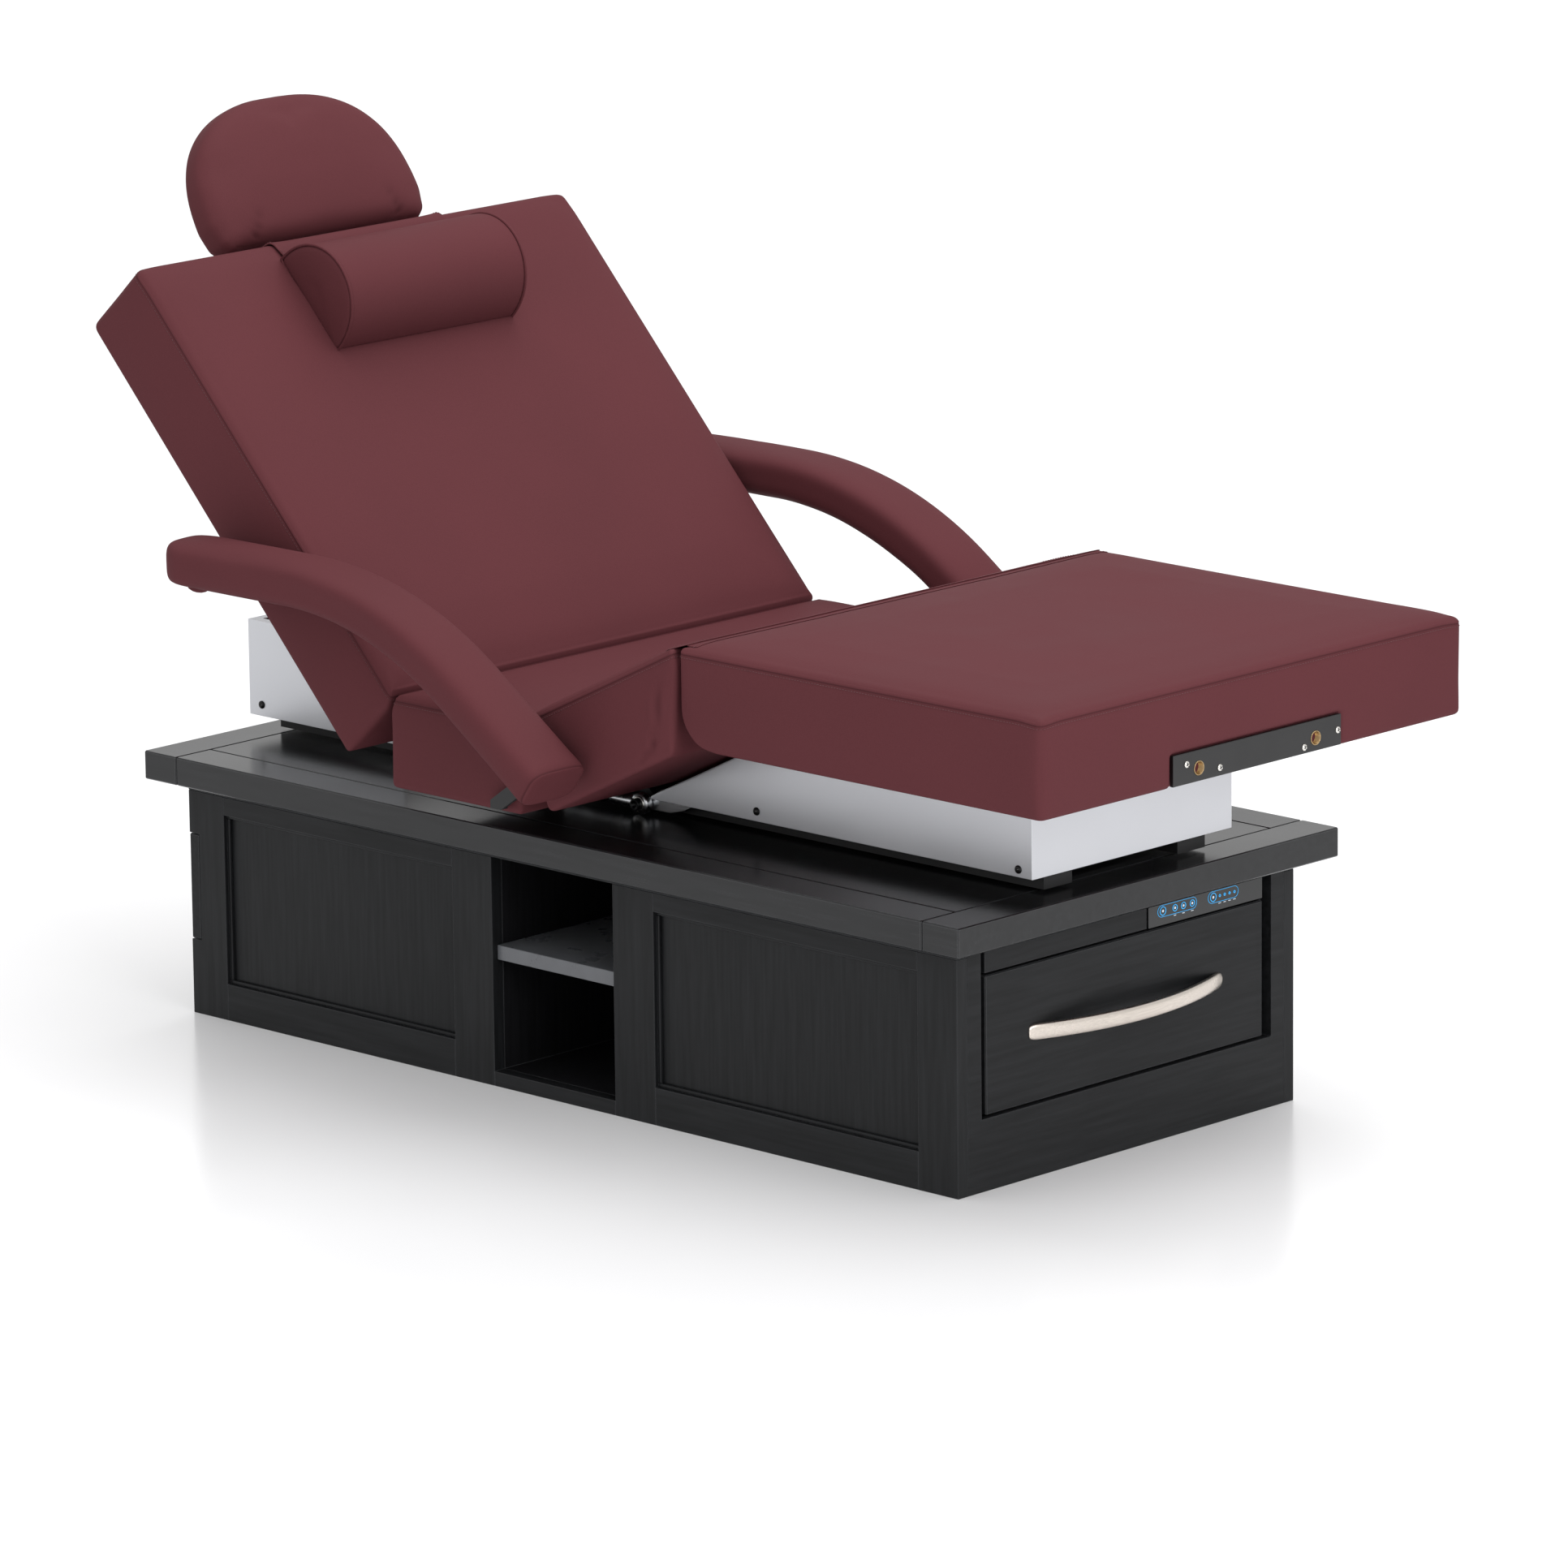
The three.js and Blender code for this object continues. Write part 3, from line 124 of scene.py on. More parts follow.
ARM_FOLD = (  # the fold's centre line, from the armrest's rear end
    (0.034, 0.0, 0.006), (0.038, 0.001, -0.001), (0.050, 0.0, -0.003),
    (0.062, -0.001, -0.001), (0.072, 0.0, 0.006),
)

HEADREST_TILT = math.radians(13)
HEADREST_HALF_W = 0.188
HEADREST_H = 0.203
HEADREST_WIDE_X = 0.038
HEADREST_ROUNDNESS = 0.84
HEADREST_BASE_WIDTH = 0.94
HEADREST_BASE = 0.020
HEADREST_Z = (0.0153, 0.0703)  # underside and top, from the tilt bar
HEADREST_EDGE_R = (0.021, 0.016)  # top, bottom
HEADREST_SWELL = 0.004
HEADREST_CROWN = 0.006
DARTS = [((-0.030, side * 0.128), (-0.068, side * 0.112)) for side in (-1, 1)]
DART_W = 0.004
DART_SINK = 0.0035
TILT_BAR = (-0.686, -0.084)  # (x, z) in the back's frame

BOLSTER_X = (-0.641, -0.493)
BOLSTER_H = 0.088
BOLSTER_HALF_L = 0.153
BOLSTER_LIFT = 0.003
BOLSTER_SWELL = 0.006
BOLSTER_CAP = (  # (distance past the piping, share of the full section)
    (0.0012, 0.985), (0.0024, 0.95), (0.003, 0.86), (0.0032, 0.7), (0.0033, 0.5),
    (0.0033, 0.3), (0.0033, 0.12),
)
PIPING_R = 0.0019

SIDES = {-1: "near", 1: "far"}

# ---- frames of the sections


def joint(name):
    return next(j for j in frame["joints"] if j["name"] == name)


def placed(point, turn):
    return Matrix.Translation(Vector(point)) @ Matrix.Rotation(turn, 4, "Y")


THIGH_DROP = math.radians(joint("recline")["range_deg"][1])
BACK_RISE = -math.radians(joint("back_fold")["range_deg"][0])
THIGH_AXIS = Vector(joint("recline")["pos_m"])
SEAT_AXIS = Vector(joint("seat_level")["pos_m"])
BACK_AXIS = Vector(joint("back_fold")["pos_m"])
LEG_FRAME = placed(THIGH_AXIS, 0)
THIGH_FRAME = placed(THIGH_AXIS, -THIGH_DROP)
SEAT_FRAME = placed(SEAT_AXIS, 0)
BACK_FRAME = placed(BACK_AXIS, BACK_RISE)
HEADREST_FRAME = BACK_FRAME @ placed((TILT_BAR[0], 0, TILT_BAR[1]), HEADREST_TILT)

# ---- materials


class Shader:
    """A Principled material whose node graph is written as short calls."""

    def __init__(self, name, color, roughness, metallic=0.0, **extra):
        self.material = bpy.data.materials.new(name)
        self.material.use_nodes = True
        self.tree = self.material.node_tree
        self.surface = self.tree.nodes["Principled BSDF"]
        self.drive(Base_Color=color, Roughness=roughness, Metallic=metallic, **extra)
        self.material.diffuse_color = (*color, 1)
        self.position = self.add("ShaderNodeTexCoord").outputs["Object"]

    def feed(self, socket, value):
        """Links or sets an input. A plain colour gets an alpha of 1."""
        if isinstance(value, bpy.types.NodeSocket):
            self.tree.links.new(value, socket)
        elif socket.type == "RGBA":
            socket.default_value = (*value, 1)
        else:
            socket.default_value = value

    def drive(self, **sockets):
        for key, value in sockets.items():
            self.feed(self.surface.inputs[key.replace("_", " ")], value)
        return self.material

    def add(self, kind, inputs=None, **properties):
        node = self.tree.nodes.new(kind)
        for key, value in properties.items():
            setattr(node, key, value)
        for key, value in (inputs or {}).items():
            self.feed(node.inputs[key], value)
        return node

    def scaled(self, scale):
        """Object position, stretched by one factor, or by one along each axis."""
        if not isinstance(scale, tuple):
            scale = (scale, scale, scale)
        return self.add("ShaderNodeMapping", {"Vector": self.position, "Scale": scale}).outputs[0]

    def noise(self, scale, detail=3.0):
        where = self.scaled(scale)
        made = self.add("ShaderNodeTexNoise", {"Vector": where, "Scale": 1.0, "Detail": detail})
        return made.outputs["Fac"]

    def ramp(self, value, low=0.3, high=0.7, to_low=0.0, to_high=1.0):
        names = {"Value": value, "From Min": low, "From Max": high, "To Min": to_low,
                 "To Max": to_high}
        return self.add("ShaderNodeMapRange", names).outputs[0]

    def math(self, operation, a, b=0.0):
        return self.add("ShaderNodeMath", {0: a, 1: b}, operation=operation).outputs[0]

    def mix(self, share, a, b):
        """Colours a and b (a colour or a socket each), mixed by a socket or number."""
        return self.add("ShaderNodeMix", {0: share, 6: a, 7: b}, data_type="RGBA").outputs[2]

    def tones(self, value, color, dark, light, low=0.3, high=0.7):
        """Two brightnesses of a colour, mixed by a pattern."""
        return self.mix(self.ramp(value, low, high), tint(color, dark), tint(color, light))

    def edge_highlight(self, radius):
        """1 near a sharp edge, 0 on flat faces: the mask of a painted highlight along edges."""
        soft = self.add("ShaderNodeBevel", {"Radius": radius}, samples=4).outputs[0]
        normal = self.add("ShaderNodeNewGeometry").outputs["Normal"]
        dot = self.add("ShaderNodeVectorMath", {0: soft, 1: normal}, operation="DOT_PRODUCT")
        return self.ramp(dot.outputs["Value"], 0.995, 0.9)

    def bump(self, height, distance, strength=1.0, under=None):
        names = {"Height": height, "Distance": distance, "Strength": strength}
        if under is not None:
            names["Normal"] = under
        return self.add("ShaderNodeBump", names).outputs[0]


def tint(color, factor):
    return tuple(min(1.0, c * factor) for c in color)


def vinyl(name, color):
    s = Shader(name, color, 0.6, Specular_IOR_Level=0.03)
    broad = s.noise(5, detail=2)
    cells = s.add("ShaderNodeTexVoronoi", {"Vector": s.scaled(620), "Scale": 1.0},
                  feature="SMOOTH_F1").outputs["Distance"]
    pores = s.noise(1500, detail=2)
    groove_shade = s.add("ShaderNodeAttribute", attribute_name="groove_shade").outputs["Fac"]
    tone = s.tones(broad, color, 0.95, 1.06)
    pebble = s.tones(cells, color, 1.05, 0.93, 0.1, 0.75)
    tone = s.mix(0.4, tone, pebble)
    # painted shade: the vinyl darkens in seam grooves, folds and darts, as stored by groove()
    tone = s.mix(s.math("MULTIPLY", groove_shade, 0.62), tone, tint(color, 0.28))
    grain = s.math("ADD", cells, s.math("MULTIPLY", pores, 0.35))
    slow = s.noise(38)
    under = s.bump(slow, 0.0012, 0.14)
    rough = s.ramp(broad, to_low=0.58, to_high=0.70)
    return s.drive(Base_Color=tone, Roughness=rough, Normal=s.bump(grain, 0.00018, 0.35, under))


def lacquer(name, stretch, rough, coat, gloss, color=(0.0105, 0.0110, 0.0120)):
    s = Shader(name, color, rough, Specular_IOR_Level=gloss, Coat_Weight=coat, Coat_Roughness=0.12)
    grain = s.noise(stretch, detail=6)
    fine = s.noise(tuple(4 * v for v in stretch))
    cloud = s.noise(6, detail=2)
    tone = s.tones(grain, color, 0.8, 1.35, 0.35, 0.7)
    # painted highlight: the lacquer turns lighter grey along sharp edges
    tone = s.mix(s.edge_highlight(0.0012), tone, (0.075, 0.078, 0.083))
    height = s.math("ADD", grain, s.math("MULTIPLY", fine, 0.4))
    shine = s.ramp(cloud, to_low=rough * 0.88, to_high=rough * 1.12)
    return s.drive(Base_Color=tone, Roughness=shine, Normal=s.bump(height, 0.0003, 0.22))


def coated_metal(name, color, rough, metallic=0.0):
    s = Shader(name, color, rough, metallic, Specular_IOR_Level=0.5)
    peel = s.noise(420, detail=2)
    cloud = s.noise(4, detail=2)
    tone = s.tones(cloud, color, 0.94, 1.05)
    # painted highlight: the colour is lighter along sharp edges
    tone = s.mix(s.edge_highlight(0.0008), tone, tint(color, 1.35))
    shine = s.ramp(cloud, to_low=rough * 0.9, to_high=rough * 1.15)
    return s.drive(Base_Color=tone, Roughness=shine, Normal=s.bump(peel, 0.0001, 0.2))


def brushed(name, color, rough, stretch):
    s = Shader(name, color, rough, 1.0, Anisotropic=0.4)
    grain = s.noise(stretch, detail=4)
    cloud = s.noise(12, detail=2)
    tone = s.tones(grain, color, 0.9, 1.08)
    shine = s.ramp(cloud, to_low=rough * 0.85, to_high=rough * 1.2)
    return s.drive(Base_Color=tone, Roughness=shine, Normal=s.bump(grain, 0.00008, 0.3))


def plywood(name):
    color = (0.46, 0.31, 0.17)
    s = Shader(name, color, 0.55)
    layers = s.add("ShaderNodeTexWave", {"Vector": s.scaled((3, 3, 420)), "Distortion": 1.2,
                                         "Detail": 2.0}, bands_direction="Z").outputs["Fac"]
    figure = s.noise((10, 120, 60), detail=5)
    tone = s.mix(layers, tint(color, 0.72), tint(color, 1.1))
    tone = s.mix(s.ramp(figure, 0.35), tone, tint(color, 0.85))
    return s.drive(Base_Color=tone, Normal=s.bump(figure, 0.0004, 0.3))


def glowing(name, color, strength):
    s = Shader(name, color, 0.4)
    flicker = s.noise(900, detail=1)
    return s.drive(Emission_Color=s.tones(flicker, color, 0.85, 1), Emission_Strength=strength)


def smooth_plastic(name, color, rough, coat=0.0):
    s = Shader(name, color, rough, Coat_Weight=coat, Coat_Roughness=0.05)
    cloud = s.noise(30)
    tone = s.tones(cloud, color, 0.92, 1.08)
    # painted highlight: the colour is lighter along sharp edges
    tone = s.mix(s.edge_highlight(0.0006), tone, tint(color, 1.5))
    shine = s.ramp(cloud, to_low=rough * 0.85, to_high=rough * 1.2)
    return s.drive(Base_Color=tone, Roughness=shine)


ALONG_X = (9, 160, 160)  # grain directions
ALONG_Y = (160, 9, 160)
ALONG_Z = (160, 160, 9)
VINYL = vinyl("burgundy_vinyl", (0.103, 0.031, 0.036))
THREAD = coated_metal("burgundy_thread", (0.088, 0.028, 0.032), 0.8)
TOP_LACQUER = lacquer("top_lacquer", ALONG_X, 0.22, 0.1, 0.3)
RAIL_LACQUER = lacquer("rail_lacquer", ALONG_X, 0.38, 0.0, 0.16)
STILE_LACQUER = lacquer("stile_lacquer", ALONG_Z, 0.38, 0.0, 0.16)
CROSS_LACQUER = lacquer("cross_lacquer", ALONG_Y, 0.38, 0.0, 0.16)
BLACK_BOARD = lacquer("black_board", ALONG_Z, 0.6, 0.0, 0.1, (0.007, 0.007, 0.008))
SHELF = smooth_plastic("grey_shelf", (0.115, 0.12, 0.13), 0.3, 0.0)
TOUCH_GLASS = smooth_plastic("touch_glass", (0.004, 0.0045, 0.005), 0.2, 0.1)
GLOSS_BLACK = smooth_plastic("gloss_black", (0.004, 0.004, 0.0045), 0.35, 0.0)
SOCKET_LINER = brushed("socket_liner", (0.42, 0.30, 0.16), 0.35, (60, 900, 900))
SCREW_STEEL = brushed("screw_steel", (0.72, 0.70, 0.66), 0.25, 800)
BLACK_OXIDE = coated_metal("black_oxide", (0.02, 0.02, 0.021), 0.3, 0.8)
SKIRT = coated_metal("silver_skirt", (0.61, 0.62, 0.65), 0.34, 0.6)
POWDER = coated_metal("dark_powder_coat", (0.010, 0.010, 0.011), 0.55, 0.0)
ALUMINIUM = brushed("satin_aluminium", (0.62, 0.63, 0.65), 0.32, (700, 700, 6))
ZINC = brushed("bright_zinc", (0.60, 0.61, 0.63), 0.24, (7, 600, 600))
NICKEL = brushed("satin_nickel", (0.66, 0.60, 0.54), 0.30, (900, 9, 900))
PLYWOOD = plywood("birch_plywood")
CYAN = glowing("cyan_marks", (0.03, 0.32, 0.66), 0.85)
PALE_MARK = glowing("pale_marks", (0.5, 0.55, 0.6), 0.5)

# ---- mesh helpers


def linked(name, data):
    made = bpy.data.objects.new(name, data)
    scene.collection.objects.link(made)
    return made


def shade(mesh, smooth=True):
    for polygon in mesh.polygons:
        polygon.use_smooth = smooth


def mesh_object(name, points, faces, material, smooth=True):
    mesh = bpy.data.meshes.new(name)
    mesh.from_pydata([tuple(p) for p in points], [], [tuple(f) for f in faces])
    mesh.update()
    mesh.materials.append(material)
    shade(mesh, smooth)
    return linked(name, mesh)


def place(obj, body, slot, *replaced):
    """Puts a finished piece on its body, in place of the CAD nodes it replaces."""
    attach(obj, body)
    if replaced:
        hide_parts(*replaced)


def coordinates(mesh):
    flat = np.zeros(3 * len(mesh.vertices))
    mesh.vertices.foreach_get("co", flat)
    return flat.reshape(-1, 3)


def set_coordinates(mesh, points):
    mesh.vertices.foreach_set("co", points.astype(np.float32).ravel())
    mesh.update()


def vertex_normals(mesh):
    flat = np.zeros(3 * len(mesh.vertices), np.float32)
    mesh.vertex_normals.foreach_get("vector", flat)
    return flat.reshape(-1, 3).astype(float)


def moved(points, matrix):
    a = np.array(matrix)
    return np.asarray(points) @ a[:3, :3].T + a[:3, 3]


def apply_modifiers(obj):
    graph = bpy.context.evaluated_depsgraph_get()
    graph.update()
    baked = bpy.data.meshes.new_from_object(obj.evaluated_get(graph))
    obj.modifiers.clear()
    obj.data = baked


def ease_edges(obj, width, weld=False):
    """Rounds the sharp edges of a hard piece without touching its mesh."""
    if weld:
        join = obj.modifiers.new("weld", "WELD")
        join.merge_threshold = 1e-5
    bevel = obj.modifiers.new("eased_edges", "BEVEL")
    bevel.width = width
    bevel.segments = 2
    bevel.limit_method = "ANGLE"
    bevel.angle_limit = math.radians(40)
    bevel.harden_normals = True
    if weld:
        # folds gentler than the bevel's limit would otherwise shade a flat face as a curved one
        flat = obj.modifiers.new("flat_faces", "WEIGHTED_NORMAL")
        flat.mode = "FACE_AREA"
        flat.weight = 100
    shade(obj.data)


def joined(name, parts):
    """One object from several, keeping their materials."""
    made = bmesh.new()
    slots = []
    for part in parts:
        start = len(made.faces)
        made.from_mesh(part.data)
        made.faces.ensure_lookup_table()
        for face in made.faces[start:]:
            material = part.data.materials[min(face.material_index, len(part.data.materials) - 1)]
            if material not in slots:
                slots.append(material)
            face.material_index = slots.index(material)
        bpy.data.objects.remove(part)
    mesh = bpy.data.meshes.new(name)
    made.to_mesh(mesh)
    made.free()
    for material in slots:
        mesh.materials.append(material)
    return linked(name, mesh)


def extruded(name, outline, axis, low, high, material, bevel=0.0012):
    """A board: an outline in the two other axes, extruded along axis, with eased edges."""
    order = {"x": (1, 2, 0), "y": (0, 2, 1), "z": (0, 1, 2)}[axis]
    points = []
    for depth in (low, high):
        for u, v in outline:
            point = [0.0, 0.0, 0.0]
            point[order[0]], point[order[1]], point[order[2]] = u, v, depth
            points.append(point)
    n = len(outline)
    faces = [list(range(n))[::-1], list(range(n, 2 * n))]
    faces += [(i, (i + 1) % n, n + (i + 1) % n, n + i) for i in range(n)]
    made = mesh_object(name, points, faces, material)
    fixed = bmesh.new()
    fixed.from_mesh(made.data)
    bmesh.ops.recalc_face_normals(fixed, faces=fixed.faces)
    fixed.to_mesh(made.data)
    fixed.free()
    ease_edges(made, bevel)
    return made


def rectangle(u0, u1, v0, v1):
    return [(u0, v0), (u1, v0), (u1, v1), (u0, v1)]


def arc(cx, cy, rx, ry, start, end, steps):
    turn = [start + (end - start) * i / steps for i in range(steps + 1)]
    return [(cx + rx * math.cos(a), cy + ry * math.sin(a)) for a in turn]


def aimed(centre, direction, axis="Z"):
    """A matrix that puts the origin at centre and turns an axis to a direction."""
    turn = Vector(direction).to_track_quat(axis, "Y")
    return Matrix.Translation(Vector(centre)) @ turn.to_matrix().to_4x4()


def ring_faces(rings, n, flip=False, closed=False, open_end=False):
    """Quads between successive rings of n points, and a face over each end."""
    faces = []
    for i in range(rings if closed else rings - 1):
        a, b = i * n, (i + 1) % rings * n
        for k in range(n):
            j = (k + 1) % n
            if flip:
                faces.append((a + k, b + k, b + j, a + j))
            else:
                faces.append((a + k, a + j, b + j, b + k))
    ends = [list(range(n))[::-1], [(rings - 1) * n + k for k in range(n)]]
    if flip:
        ends = [end[::-1] for end in ends]
    if closed:
        return faces
    return faces + (ends[:1] if open_end else ends)


def lathe(name, profile, centre, direction, material, sides=28, open_end=False):
    """Turns (radius, height) pairs about an axis through centre, capped unless open."""
    points = []
    for radius, height in profile:
        for i in range(sides):
            angle = 2 * math.pi * i / sides
            points.append((radius * math.cos(angle), radius * math.sin(angle), height))
    faces = ring_faces(len(profile), sides, open_end=open_end)
    return mesh_object(name, moved(points, aimed(centre, direction)), faces, material)


def tube(name, path, radius, material, sides=10, closed=False):
    """A round tube along a list of points."""
    path = [Vector(p) for p in path]
    n = len(path)
    points = []
    normal = None
    for i, here in enumerate(path):
        before = path[(i - 1) % n] if closed or i else path[0]
        after = path[(i + 1) % n] if closed or i < n - 1 else path[-1]
        tangent = (after - before).normalized()
        if normal is None:
            normal = tangent.orthogonal().normalized()
        normal = (normal - tangent * normal.dot(tangent)).normalized()
        side = tangent.cross(normal)
        for k in range(sides):
            angle = 2 * math.pi * k / sides
            points.append(here + radius * (math.cos(angle) * normal + math.sin(angle) * side))
    return mesh_object(name, points, ring_faces(n, sides, flip=True, closed=closed), material)


# ---- soft shapes


def lines(low, high, step, fine=()):
    """Grid positions at most step apart that pass through the fine ones."""
    stops = sorted({low, high, *[f for f in fine if low < f < high]})
    made = [low]
    for a, b in zip(stops, stops[1:]):
        count = max(1, math.ceil((b - a) / step - 1e-6))
        made += [a + (b - a) * i / count for i in range(1, count + 1)]
    return made


def near_edges(low, high):
    """Extra grid positions that follow the rounding at both ends."""
    steps = (0.002, 0.0045, 0.0075, 0.011, 0.016, 0.023)
    return [low + s for s in steps] + [high - s for s in steps]


def box_surface(xs, ys, zs):
    """Quads over the six faces of a box, sharing vertices along its edges."""
    index = {}
    points = []

    def vertex(i, j, k):
        if (i, j, k) not in index:
            index[i, j, k] = len(points)
            points.append((xs[i], ys[j], zs[k]))
        return index[i, j, k]

    faces = []
    spans = [len(xs) - 1, len(ys) - 1, len(zs) - 1]
    for axis in range(3):
        u, v = (axis + 1) % 3, (axis + 2) % 3
        for end in (0, spans[axis]):
            for a in range(spans[u]):
                for b in range(spans[v]):
                    quad = []
                    for da, db in ((0, 0), (1, 0), (1, 1), (0, 1)):
                        key = [0, 0, 0]
                        key[axis], key[u], key[v] = end, a + da, b + db
                        quad.append(vertex(*key))
                    faces.append(quad if end else quad[::-1])
    return np.array(points), faces


def outline_distance(points, outline):
    """Signed distance in plan to a convex outline drawn counter-clockwise."""
    a = np.array(outline)
    b = np.roll(a, -1, axis=0)
    edge = b - a
    rel = points[:, None, :2] - a[None]
    t = np.clip((rel * edge).sum(2) / (edge ** 2).sum(1), 0, 1)
    gap = rel - t[..., None] * edge
    distance = np.sqrt((gap ** 2).sum(2)).min(1)
    inside = (edge[:, 0] * rel[..., 1] - edge[:, 1] * rel[..., 0] >= -1e-12).all(1)
    return np.where(inside, -distance, distance)


def round_over(points, outline, z0, z1, r_top, r_bottom):
    """Pulls a box surface onto an upright slab with that outline and rounded edges."""
    middle = (z0 + z1) / 2

    def field(p):
        r = np.where(p[:, 2] > middle, r_top, r_bottom)
        w = outline_distance(p, outline) + r
        h = np.abs(p[:, 2] - middle) - (z1 - z0) / 2 + r
        return np.minimum(np.maximum(w, h), 0) + np.hypot(np.maximum(w, 0), np.maximum(h, 0)) - r

    step = 1e-5
    for _ in range(7):
        value = field(points)
        active = np.abs(value) > 2e-5
        if not active.any():
            break
        near = points[active]
        slope = np.stack([
            (field(near + step * unit) - value[active]) / step for unit in np.eye(3)
        ], axis=1)
        slope /= np.maximum(np.linalg.norm(slope, axis=1), 1e-6)[:, None]
        points[active] = near - value[active][:, None] * slope
    return points


def corner_outline(x0, x1, half_w, radii):
    """Plan outline with a radius at the x0 end and one at the x1 end."""
    quarter = math.pi / 2
    corners = (
        (x0, -half_w, radii[0], 2 * quarter), (x1, -half_w, radii[1], 3 * quarter),
        (x1, half_w, radii[1], 0), (x0, half_w, radii[0], quarter),
    )
    outline = []
    for x, y, r, start in corners:
        cx = x + (r if x == x0 else -r)
        cy = y + (r if y < 0 else -r)
        outline += arc(cx, cy, r, r, start, start + quarter, 6)
    return outline


def even(path, pitch, closed=True):
    """Points along a path at an even pitch."""
    path = np.asarray(path, float)
    if closed:
        path = np.vstack([path, path[:1]])
    length = np.concatenate([[0], np.cumsum(np.linalg.norm(np.diff(path, axis=0), axis=1))])
    at = np.arange(0, length[-1], pitch)
    return np.stack([np.interp(at, length, path[:, k]) for k in range(path.shape[1])], axis=1)


def stitching(name, spots, surface):
    """A stitch at each spot, laid on the surface and pointing at the next one."""
    tree = BVHTree.FromPolygons(
        [v.co.copy() for v in surface.data.vertices],
        [tuple(p.vertices) for p in surface.data.polygons],
    )
    points, faces = [], []
    spots = [Vector(s) for s in spots]
    for here, following in zip(spots, spots[1:]):
        near, normal, _, _ = tree.find_nearest(here)
        ahead, _, _, _ = tree.find_nearest(following)
        along = ahead - near
        if not 0.4 * STITCH_PITCH < along.length < 1.8 * STITCH_PITCH:
            continue
        along.normalize()
        side = normal.cross(along).normalized()
        base = len(points)
        for reach, scale, lift in STITCH_PROFILE:
            centre = near + along * reach * STITCH_L + normal * lift * THREAD_R
            for k in range(6):
                turn = math.pi * k / 3
                ring = math.cos(turn) * side + math.sin(turn) * normal
                points.append(centre + ring * THREAD_R * scale)
        for row in range(3):
            for k in range(6):
                a, b = base + row * 6 + k, base + row * 6 + (k + 1) % 6
                faces.append((a, b, b + 6, a + 6))
        faces.append([base + k for k in range(6)][::-1])
        faces.append([base + 18 + k for k in range(6)])
    return mesh_object(name, points, faces, THREAD)


CLOTH_FRAMES = 20
TRAVEL_SMOOTHING = 8  # passes over the travel field, so that only broad swelling is left
soft = []


def soft_piece(name, body, replaced, points, faces, held, cap, finish):
    """Queues a piece for the cloth run. held pins points, cap limits their travel."""
    made = mesh_object(name, points, faces, VINYL)
    soft.append({"object": made, "body": body, "replaced": replaced, "held": held, "cap": cap,
                 "finish": finish})
    return made


def run_cloth():
    """Swells every queued piece in one simulation and writes the shapes back."""
    for item in soft:
        obj = item["object"]
        item["start"] = coordinates(obj.data)
        group = obj.vertex_groups.new(name="held")
        for weight in sorted(set(np.round(item["held"], 2)) - {0.0}):
            chosen = np.nonzero(np.isclose(np.round(item["held"], 2), weight))[0]
            group.add([int(i) for i in chosen], float(weight), "REPLACE")
        cloth = obj.modifiers.new("swell", "CLOTH")
        settings = cloth.settings
        settings.quality = 5
        settings.mass = 0.3
        settings.tension_stiffness = 22
        settings.compression_stiffness = 22
        settings.shear_stiffness = 8
        settings.bending_stiffness = 1.2
        settings.use_pressure = True
        settings.uniform_pressure_force = 4
        settings.effector_weights.gravity = 0
        settings.vertex_group_mass = "held"
        cloth.collision_settings.use_collision = False
        cloth.point_cache.frame_start = 1
        cloth.point_cache.frame_end = CLOTH_FRAMES
    for number in range(1, CLOTH_FRAMES + 1):
        scene.frame_set(number)
    graph = bpy.context.evaluated_depsgraph_get()
    for item in soft:
        obj = item["object"]
        start = item["start"]
        item["moved"] = coordinates(obj.evaluated_get(graph).data) - start
    for item in soft:
        obj = item["object"]
        obj.modifiers.clear()
        obj.vertex_groups.clear()
        item["moved"] = evened(obj.data, item["moved"], TRAVEL_SMOOTHING)
        travel = np.maximum(np.linalg.norm(item["moved"], axis=1), 1e-9)
        limit = item["cap"]
        scale = limit * np.tanh(travel / limit) / travel
        set_coordinates(obj.data, item["start"] + item["moved"] * scale[:, None])
        item["finish"](obj)
        place(obj, item["body"], "upholstery", *item["replaced"])
    scene.frame_set(1)


def evened(mesh, field, passes):
    """Averages a vector per vertex with its neighbours."""
    flat = np.zeros(2 * len(mesh.edges), np.int64)
    mesh.edges.foreach_get("vertices", flat)
    a, b = flat[0::2], flat[1::2]
    count = np.bincount(np.concatenate([a, b]), minlength=len(field))[:, None]
    for _ in range(passes):
        total = np.zeros_like(field)
        np.add.at(total, a, field[b])
        np.add.at(total, b, field[a])
        field = 0.4 * field + 0.6 * total / np.maximum(count, 1)
    return field


def groove(obj, depths, groove_shade=None):
    """Sinks vertices along their normals and stores a painted shade there, which darkens the vinyl.
    """
    mesh = obj.data
    set_coordinates(mesh, coordinates(mesh) - vertex_normals(mesh) * depths[:, None])
    attribute = mesh.attributes.new("groove_shade", "FLOAT", "POINT")
    attribute.data.foreach_set("value", (depths * 0 if groove_shade is None else groove_shade).astype(np.float32))


def subdivide(obj):
    surface = obj.modifiers.new("subdivision", "SUBSURF")
    surface.levels = 1
    surface.render_levels = 1
    apply_modifiers(obj)
    shade(obj.data)


def bell(distance, width):
    return np.exp(-((distance / width) ** 2))


